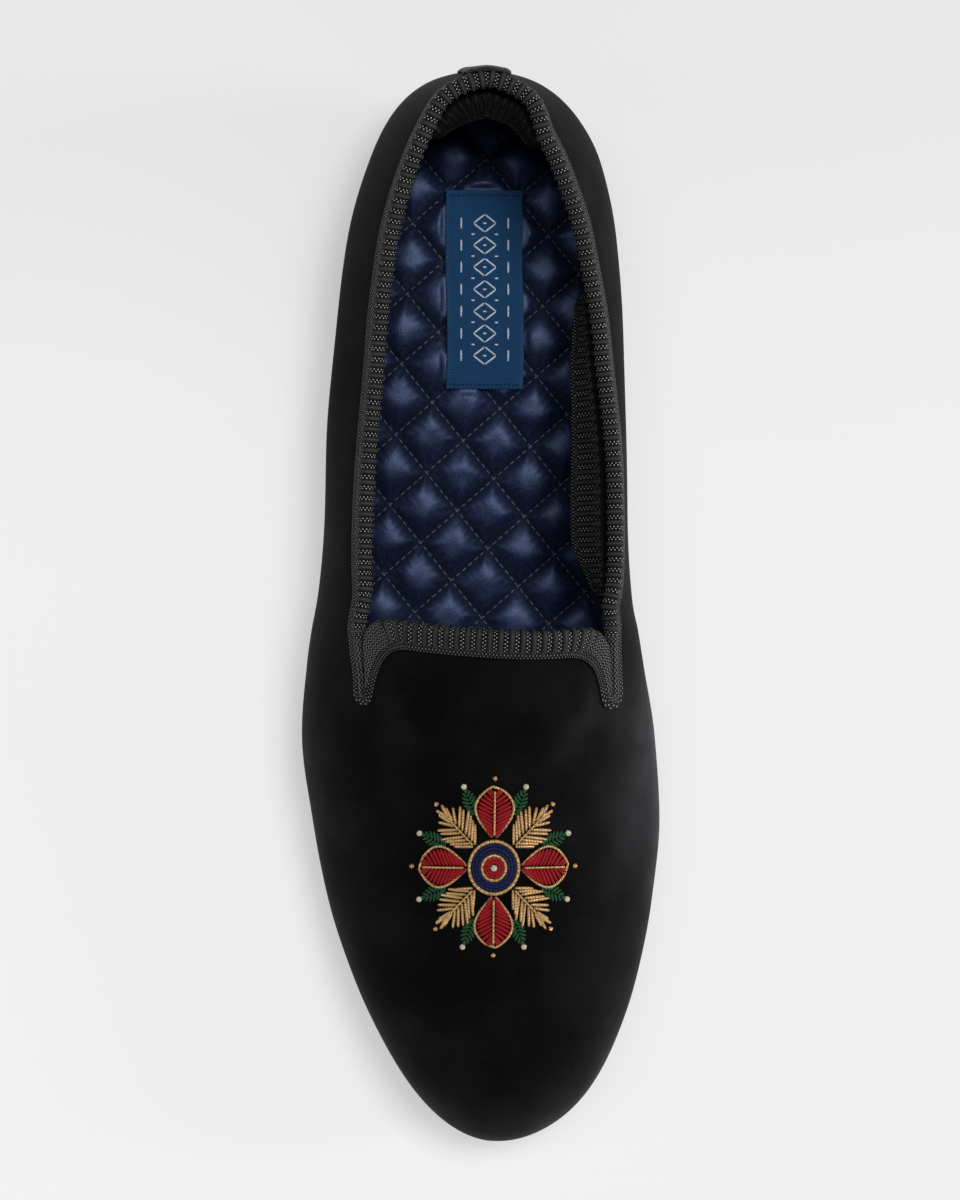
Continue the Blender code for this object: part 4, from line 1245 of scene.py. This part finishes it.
def quilt_rise(x, station):
    """Height of the quilting over the pad's flat top, and how much painted shade each point gets by a seam.
    """
    u, v = quilt_coordinates(x, station)
    from_u, from_v = np.abs(u - np.round(u)), np.abs(v - np.round(v))
    cushion = np.clip((1 - (2 * from_u) ** 2.4) * (1 - (2 * from_v) ** 2.4), 0, 1) ** 0.62
    near = QUILT_SIDE * np.minimum(0.5 - from_u, 0.5 - from_v)
    along = np.where(from_u > from_v, v, u) * QUILT_SIDE
    gather = along / STITCH_PITCH + 0.35 * np.sin(2.3 * u + 3.1 * v)
    pucker = -PUCKER_HEIGHT * bell(near, PUCKER_REACH) * np.cos(2 * np.pi * gather)
    corner_u, corner_v = u - np.floor(u) - 0.5, v - np.floor(v) - 0.5
    from_corner = QUILT_SIDE * np.hypot(corner_u, corner_v)
    pulled = np.cos(5 * np.arctan2(corner_v, corner_u) + 2.1 * np.sin(3.3 * u + 1.7 * v))
    pulled *= PULL_HEIGHT * bell(from_corner, PULL_REACH) * (1 - bell(from_corner, MM))
    drape = np.sin(5.1 * u + 1.3 * np.sin(3.7 * v)) * np.cos(4.3 * v + 1.1 * np.sin(2.9 * u)) * DRAPE_HEIGHT
    crown = QUILT_CROWN + QUILT_CROWN_SPREAD * np.sin(12.9 * np.round(u) + 7.3 * np.round(v))
    rise = between(QUILT_TROUGH, crown, cushion) + pucker + pulled + drape * cushion
    cover = label_cover(x, station)
    # Painted shade along the seams, weaker under the label.
    seam = bell(near, SEAM_REACH) * (1 - 0.6 * cover)
    pressed = np.minimum(rise, label_rise(x, station) - 0.2 * MM)
    return between(rise, pressed, cover), seam


def make_insole():
    """A closed pad with its top quilted; the grid is closest where the collar leaves the top in view."""
    shown, covered = 12 * MM, 158 * MM
    turns = np.concatenate([
        np.linspace(0, turn_of(shown), 40)[:-1], turn_of(np.linspace(shown, covered, 290)),
        np.linspace(turn_of(covered), 1, 110)[1:],
    ])
    lateral, medial = (np.array([insole_edge(turn, side) for turn in turns]) for side in (LATERAL, MEDIAL))
    share = np.linspace(0, 1, 150)[None, :, None]
    top = between(lateral[:, 2][:, None], medial[:, 2][:, None], share)
    width = np.linalg.norm(medial[:, 2] - lateral[:, 2], axis=1)[:, None]
    from_side = np.minimum(share[..., 0], 1 - share[..., 0]) * width
    from_end = np.minimum(-top[..., 1] - 4 * MM, LENGTH - 6 * MM + top[..., 1])
    rise, seam = quilt_rise(top[..., 0], -top[..., 1])
    top[..., 2] += rise * smooth(0, 3 * MM, from_side) * smooth(0, 4 * MM, from_end)
    rows, columns = top.shape[:2]
    points, faces = [top.reshape(-1, 3)], [grid_quads(rows, columns, turned=True)]
    first = rows * columns
    for edge, at, turned in ((lateral, 0, False), (medial, columns - 1, True)):
        wall = np.stack([edge[:, 0], edge[:, 1], top[:, at]], axis=1)
        points.append(wall.reshape(-1, 3))
        faces.append(grid_quads(rows, 3, first, turned))
        first += rows * 3
    points.append(np.stack([lateral[:, 0], medial[:, 0]], axis=1).reshape(-1, 3))
    faces.append(grid_quads(rows, 2, first))
    mesh = new_mesh("quilted_insole", np.vstack(points), np.vstack(faces))
    # The painted shade along the seams is kept on the top's points.
    point_values(mesh, "seam", np.append(seam, np.zeros(len(mesh.vertices) - seam.size)))
    merged(mesh, outward=True)
    insole = ride_as(new_object("quilted_insole", mesh, SATIN), "satin", "insole")
    return solid_tree(mesh), lateral[:, 2], medial[:, 2]


INSOLE_TREE, INSOLE_LATERAL, INSOLE_MEDIAL = make_insole()


# Threads

def bead_mesh(sides=6, rings=5):
    """A strand of unit length and radius along X with round ends, with its own winding coordinates."""
    along = -np.cos(np.linspace(0, np.pi, rings + 2))
    radius = np.clip(1 - along**6, 0, 1) ** 0.5
    points, uv = [], []
    for a, r in zip(along, radius):
        for k in range(sides):
            angle = 2 * math.pi * k / sides
            points.append((a / 2, r * math.cos(angle), r * math.sin(angle)))
            uv.append((a / 2 + 0.5, k / sides))
    mesh = bpy.data.meshes.new("strand")
    faces = grid_quads(len(along), sides, turned=True, close_columns=True)
    mesh.from_pydata(points, [], faces.tolist())
    corner_values(mesh, "strand", np.array(uv)[corner_points(mesh)])
    merged(mesh, 1e-5, outward=True)
    mesh.shade_smooth()
    return mesh


def strands_tree():
    """Lays a strand on each point along its own axis, with its own length, at a given radius."""
    inputs = (("Strand", "Object"), ("Radius", "Float"), ("Thread", "Material"))
    tree, named, given = new_geometry_tree("laid strands", inputs)
    points = add_node(tree, "GeometryNodeMeshToPoints", {0: given[0]}).outputs[0]
    strand = add_node(tree, "GeometryNodeObjectInfo", {"Object": given["Strand"]}).outputs["Geometry"]
    axis = carried(tree, "axis", "FLOAT_VECTOR")
    turned = add_node(tree, "FunctionNodeAlignRotationToVector", {"Vector": axis}, axis="X").outputs[0]
    lengths = {0: carried(tree, "strand_length"), 1: given["Radius"], 2: given["Radius"]}
    size = add_node(tree, "ShaderNodeCombineXYZ", lengths).outputs[0]
    laid = add_node(tree, "GeometryNodeInstanceOnPoints", {
        "Points": points, "Instance": strand, "Rotation": turned, "Scale": size,
    }).outputs[0]
    end_tree(tree, laid, given["Thread"])
    return tree, named


BEAD = bpy.data.objects.new("strand", bead_mesh())
STRANDS, STRAND_INPUTS = strands_tree()


def lay_strands(name, starts, ends, radius, thread):
    """One piece made of straight strands between start and end points in the last's frame."""
    starts, ends = np.asarray(starts, float), np.asarray(ends, float)
    mesh = new_mesh(name, (starts + ends) / 2, [])
    point_vectors(mesh, "axis", unit(ends - starts))
    point_values(mesh, "strand_length", np.linalg.norm(ends - starts, axis=1))
    values = {"Strand": BEAD, "Radius": radius, "Thread": THREADS[thread]}
    return run_tree(new_object(name, mesh), STRANDS, STRAND_INPUTS, values)


def under(tree, x, station):
    """Place and normal on a solid below a plan position in the last's frame."""
    return tree.ray_cast(Vector((x + SHIFT[0], SHIFT[1] - station, 0.1)), Vector((0, 0, -1)))[:2]


def on_quilt(x, station):
    """Height of the quilting's cloth at a plan position."""
    return under(INSOLE_TREE, x, station)[0].z


def shows_stitch(x, station):
    """Whether a stitch at a plan position lies on the pad's top and clear of the label."""
    if not 6 * MM < station < LENGTH - 8 * MM:
        return False
    low = np.interp(station, -INSOLE_LATERAL[:, 1], INSOLE_LATERAL[:, 0]) + STITCH_MARGIN
    high = np.interp(station, -INSOLE_MEDIAL[:, 1], INSOLE_MEDIAL[:, 0]) - STITCH_MARGIN
    return low < x < high and label_cover(x, station) <= 0.6


def make_quilt_stitches():
    """Thread that shows between the needle holes along the quilting lines."""
    starts, ends = [], []
    for number in np.arange(-24, 25) + 0.5:
        for way in ((0, 1), (1, 0)):
            direction = unit(quilt_place(*way) - quilt_place(0, 0))
            origin = quilt_place(number * way[1], number * way[0])
            for distance in np.arange(-140, 141) * STITCH_PITCH:
                x, station = origin + direction * distance
                if not shows_stitch(x, station):
                    continue
                first, last = ((x, station) + direction * sign * STITCH_LENGTH / 2 for sign in (-1, 1))
                over = on_quilt(x, station) - (on_quilt(*first) + on_quilt(*last)) / 2
                for (aside, ahead), made in ((first, starts), (last, ends)):
                    made.append((aside, -ahead, on_quilt(aside, ahead) + max(over, 0) + STITCH_LIFT))
    ride_as(lay_strands("quilt_stitches", starts, ends, STITCH_RADIUS, "quilting"), "satin")


make_quilt_stitches()


# Woven label

def label_height(x, station):
    return sole_top(station) + GAP + INSOLE_THICKNESS + label_rise(x, station)


def label_curl(across, along):
    """How far the label's heel end curls up, at shares of its half width and half length."""
    return LABEL_CURL * smooth(-0.93, -1.0, along) * (0.5 + 0.5 * np.cos(2.4 * across))


def make_label():
    """A thin woven tag with soft edges that lies over the quilting."""
    along, across = np.meshgrid(np.linspace(-1, 1, 109), np.linspace(-1, 1, 41), indexing="ij")
    x = LABEL_X + across * LABEL_WIDTH / 2 + 0.25 * MM * np.sin(3.1 * along) * np.abs(across)
    station = LABEL_STATION + along * LABEL_LENGTH / 2
    height = label_height(x, station) + label_curl(across, along)
    edge_round = 0.22 * MM * (np.abs(across) ** 24 + np.abs(along) ** 60)
    top = np.stack([x, -station, height + LABEL_THICKNESS - edge_round], axis=-1)
    low = np.stack([x, -station, height], axis=-1)
    rows, columns = x.shape
    count = rows * columns
    rim = np.concatenate([
        np.arange(columns), np.arange(1, rows) * columns + columns - 1,
        (rows - 1) * columns + np.arange(columns - 2, -1, -1), np.arange(rows - 2, 0, -1) * columns,
    ])
    after = np.roll(rim, -1)
    faces = np.vstack([
        grid_quads(rows, columns), grid_quads(rows, columns, count, True),
        np.stack([rim, after, after + count, rim + count], axis=1),
    ])
    mesh = new_mesh("woven_label", np.vstack([top.reshape(-1, 3), low.reshape(-1, 3)]), faces)
    merged(mesh, 1e-9, outward=True)
    edge = np.maximum(smooth(0.88, 0.96, np.abs(across)), smooth(0.975, 0.995, np.abs(along)))
    point_values(mesh, "edge", np.tile(edge.ravel(), 2))
    place = np.tile(np.stack([x, station], axis=-1).reshape(-1, 2) / MM, (2, 1))
    corner_values(mesh, "weave", place[corner_points(mesh)])
    label = ride_as(new_object("woven_label", mesh, LABEL), "label", "insole_label")


def make_label_stitches():
    """A row of stitches across each end of the label."""
    starts, ends = [], []
    for share in (-0.945, 0.955):
        for aside in np.arange(-9.4, 9.5, 1.15) * MM:
            station = LABEL_STATION + share * LABEL_LENGTH / 2 + 0.12 * MM * math.sin(aside / MM * 1.7)
            z = label_height(LABEL_X + aside, station) + LABEL_STITCH_LIFT
            z += float(label_curl(aside / (LABEL_WIDTH / 2), share))
            for end, made in ((-LABEL_STITCH_LENGTH / 2, starts), (LABEL_STITCH_LENGTH / 2, ends)):
                made.append((LABEL_X + aside + end, -station, z))
    ride_as(lay_strands("label_stitches", starts, ends, LABEL_STITCH_RADIUS, "navy"), "label")


def on_label(aside, ahead):
    """A place on the label's face, from its middle in millimetres."""
    x, station = LABEL_X + aside * MM, LABEL_STATION + ahead * MM
    return x, -station, label_height(x, station) + LABEL_THICKNESS


def make_label_chain():
    """White yarn woven in as a chain of lozenges between two rows of dashes."""
    half_width, half_length, pitch, dash_row, tick_row = 3.1, 2.4, 6, 6.4, 3.2
    lines = []
    for ahead in np.arange(-18, 18.1, pitch):
        corners = [(0, -half_length), (half_width, 0), (0, half_length), (-half_width, 0)]
        lines.append([(aside, ahead + step) for aside, step in corners + corners[:1]])
        lines.append([(-0.5, ahead), (0.5, ahead)])
        lines += [[(aside, ahead - 1.6), (aside, ahead + 1.6)] for aside in (-dash_row, dash_row)]
    for ahead in np.arange(-15, 15.1, pitch):
        lines += [[(aside - 0.5, ahead), (aside + 0.5, ahead)] for aside in (-tick_row, tick_row)]
    starts = [on_label(*point) for line in lines for point in line[:-1]]
    ends = [on_label(*point) for line in lines for point in line[1:]]
    ride_as(lay_strands("label_chain", starts, ends, LABEL_YARN_RADIUS, "white"), "label")


make_label()
make_label_stitches()
make_label_chain()


# Embroidered rosette, drawn in millimetres round its centre

class Rosette:
    """Collects strands by thread and radius, laid over the vamp and stretched a little along it."""

    def __init__(self):
        self.laid = {}

    def place(self, point, lift):
        x, ahead = np.asarray(point) * (1, MOTIF_STRETCH) * MM
        place, normal = under(UPPER_TREE, MOTIF_X + x, MOTIF_STATION + ahead)
        return np.array(place + normal * lift * MM) - SHIFT

    def strand(self, thread, radius, first, second, lift):
        starts, ends = self.laid.setdefault((thread, radius), ([], []))
        starts.append(self.place(first, lift))
        ends.append(self.place(second, lift))

    def cord(self, thread, radius, points, lift):
        """A cord of short strands along a line of points; each runs a little into the next."""
        points = np.asarray(points)
        for first, second in zip(points, points[1:]):
            over = 0.12 * (second - first)
            self.strand(thread, radius, first - over, second + over, lift)

    def knot(self, thread, radius, centre, reach, turns, lift):
        """Crossed strands round a centre, of one length in spite of the stretch."""
        for turn in turns:
            arm = reach * np.array([math.cos(turn), math.sin(turn) / MOTIF_STRETCH])
            self.strand(thread, radius, centre - arm, centre + arm, lift)


def petal_width(share):
    """Half width of a petal at a share of its length."""
    return 4.75 * math.sin(math.pi * min(share, 1.0) ** 1.25) ** 0.75 + 0.5 * (1 - share)


def axes_at(angle):
    """The way outward from the centre at an angle from the heel's direction, and the way across it."""
    axis = np.array([math.sin(angle), -math.cos(angle)])
    return axis, np.array([axis[1], -axis[0]])


def draw_petal(rosette, angle, number):
    """A gold feather or a red petal with a gold rim, each with a gold midrib."""
    axis, side = axes_at(angle)
    inner, outer = 7.3, 19.6
    gold = number % 2

    def at(share, width):
        return axis * between(inner, outer, share) + side * width

    lean, spacing, last, longest = (0.30, 0.094, 0.93, 1.06) if gold else (0.16, 0.075, 0.84, 0.94)
    for half in (-1, 1):
        for k, share in enumerate(np.arange(0.0, last, spacing)):
            tip = min(share + lean, longest)
            fullness = 0.98 + 0.08 * math.sin(2.7 * k + number) if gold else 0.9
            width = max(petal_width(min(tip, 0.97)) * fullness, 0.45)
            ends = at(share, half * 0.2), at(tip, half * width)
            rosette.strand("gold" if gold else "red", 0.44, *ends, 0.9 + 0.1 * (k % 2))
    if not gold:
        up = np.linspace(0, 0.985, 13)
        rim = [at(share, petal_width(share)) for share in up]
        rim += [at(share, -petal_width(share)) for share in up[-2::-1]]
        rosette.cord("gold", 0.38, rim, 0.75)
    rosette.cord("gold", 0.3, [at(share, 0) for share in np.linspace(0.05, 0.9, 9)], 1.35)


def draw_leaf(rosette, angle):
    """A small green leaf of slanted stitches with a cream knot at its tip."""
    axis, side = axes_at(angle)
    for share in np.linspace(0, 1, 7):
        reach = 13.6 + 5.6 * share
        width = 1.9 * math.sin(math.pi * (0.15 + 0.8 * share))
        for half in (-1, 1):
            rosette.strand("green", 0.36, axis * reach, axis * (reach + 1.3) + side * half * width, 0.6)
    rosette.knot("cream", 0.5, axis * 20.9, 0.75, THREE_WAYS, 0.75)


def draw_rings(rosette):
    """Cords round the centre: gold, three of navy, gold and two of red, with a cream knot in the middle."""
    for radius, thread, thick, lift in (
        (6.4, "gold", 0.5, 1.1), (5.5, "navy", 0.5, 1.0), (4.7, "navy", 0.5, 1.15),
        (3.9, "navy", 0.5, 1.25), (3.1, "gold", 0.42, 1.4), (2.3, "red", 0.5, 1.3), (1.5, "red", 0.5, 1.4),
    ):
        turns = np.linspace(0, 2 * math.pi, max(10, int(radius * 5)) + 1)
        rosette.cord(thread, thick, radius * np.stack([np.sin(turns), np.cos(turns)], axis=1), lift)
    rosette.knot("cream", 0.55, np.zeros(2), 0.9, THREE_WAYS, 1.5)


def joined(name, parts):
    """One object from several, with all their materials."""
    bpy.ops.object.select_all(action="DESELECT")
    for part in parts:
        part.select_set(True)
    bpy.context.view_layer.objects.active = parts[0]
    bpy.ops.object.join()
    parts[0].name = name
    return parts[0]


def make_rosette():
    """Eight petals, red and gold by turns, with leaves between them and rings in the middle."""
    rosette = Rosette()
    for number in range(8):
        angle = math.pi / 4 * number
        draw_petal(rosette, angle, number)
        draw_leaf(rosette, angle + math.pi / 8)
        rosette.knot("gold", 0.5, axes_at(angle)[0] * 21.3, 0.6, (angle, angle + math.pi / 2), 0.7)
    draw_rings(rosette)
    parts = [
        lay_strands("embroidered_rosette", *lines, radius * MM, thread)
        for (thread, radius), lines in rosette.laid.items()
    ]
    ride_as(joined("embroidered_rosette", parts), "embroidery", "vamp_motif")


make_rosette()

# Sole and heel keep their solids
for node, leather in LEATHERS.items():
    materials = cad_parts[node].data.materials
    materials.clear()
    materials.append(leather)


# Studio

def make_floor():
    """A pale floor with painted light: it glows a little, so that the shoe's shadow on it stays faint."""
    mesh = bpy.data.meshes.new("floor")
    corners = [(x * FLOOR_REACH, y * FLOOR_REACH, 0) for x, y in ((-1, -1), (1, -1), (1, 1), (-1, 1))]
    mesh.from_pydata(corners, [], [(0, 1, 2, 3)])
    made, tree, shader = new_material(
        "pale floor", 0.9, Base_Color=(0.44, 0.44, 0.44, 1), Specular_IOR_Level=0.0, Emission_Strength=1.0,
    )
    point = object_place(tree)
    x, y, _ = parts_of(point)
    # Painted light: the glow is dimmer towards the heel end and towards the right, and an even pale far
    # away.
    aside, ahead = soft_step(x, -0.2, 0.2), soft_step(y, 0.19, 0.0)
    heel_end = mix_colour(aside, (0.378, 0.378, 0.380), (0.338, 0.338, 0.340))
    toe_end = mix_colour(aside, (0.482, 0.482, 0.484), (0.416, 0.416, 0.418))
    away = add_node(tree, "ShaderNodeVectorMath", {0: point}, operation="LENGTH").outputs["Value"]
    glow = mix_colour(ahead, heel_end, toe_end)
    glow = mix_colour(soft_step(away, 0.4, 2.4), glow, (0.84, 0.84, 0.842))
    tree.links.new(glow, shader.inputs["Emission Color"])
    new_object("floor", mesh, made)


def make_world():
    """Dim all round, and pale where the camera sees past the floor."""
    world = bpy.data.worlds.new("studio")
    world.use_nodes = True
    tree = world.node_tree
    seen = add_node(tree, "ShaderNodeLightPath").outputs["Is Camera Ray"]
    tree.links.new(stretched(seen, 0.8, 0.05), tree.nodes["Background"].inputs[1])
    tree.nodes["Background"].inputs[0].default_value = (1, 1, 1, 1)
    bpy.context.scene.world = world


def make_lights():
    for name, place, target, size, power in LIGHTS:
        light = bpy.data.lights.new(name, "AREA")
        light.shape = "RECTANGLE"
        light.size, light.size_y = size
        light.energy = power
        obj = bpy.data.objects.new(name, light)
        bpy.context.scene.collection.objects.link(obj)
        obj.location = place
        obj.rotation_euler = (Vector(target) - Vector(place)).to_track_quat("-Z", "Y").to_euler()


def make_camera():
    """Straight above with a slight lean to the outer side; the lens is set for an image 1200 pixels high.
    """
    lean = math.radians(CAMERA_LEAN)
    target = Vector(CAMERA_TARGET)
    eye = target + Vector((-math.sin(lean), 0, math.cos(lean))) * CAMERA_DISTANCE
    forward = (target - eye).normalized()
    right = Vector((math.cos(lean), 0, math.sin(lean)))
    up = right.cross(forward)
    lens = bpy.data.cameras.new("camera")
    lens.sensor_width = SENSOR_WIDTH
    lens.lens = SENSOR_WIDTH * CAMERA_DISTANCE / (IMAGE_HEIGHT / PIXELS_PER_MM * MM)
    camera = bpy.data.objects.new("camera", lens)
    camera.matrix_world = Matrix.Translation(eye) @ Matrix((right, up, -forward)).transposed().to_4x4()
    bpy.context.scene.collection.objects.link(camera)
    bpy.context.scene.camera = camera


make_floor()
make_world()
make_lights()
make_camera()
bpy.context.scene.view_settings.view_transform = "Standard"
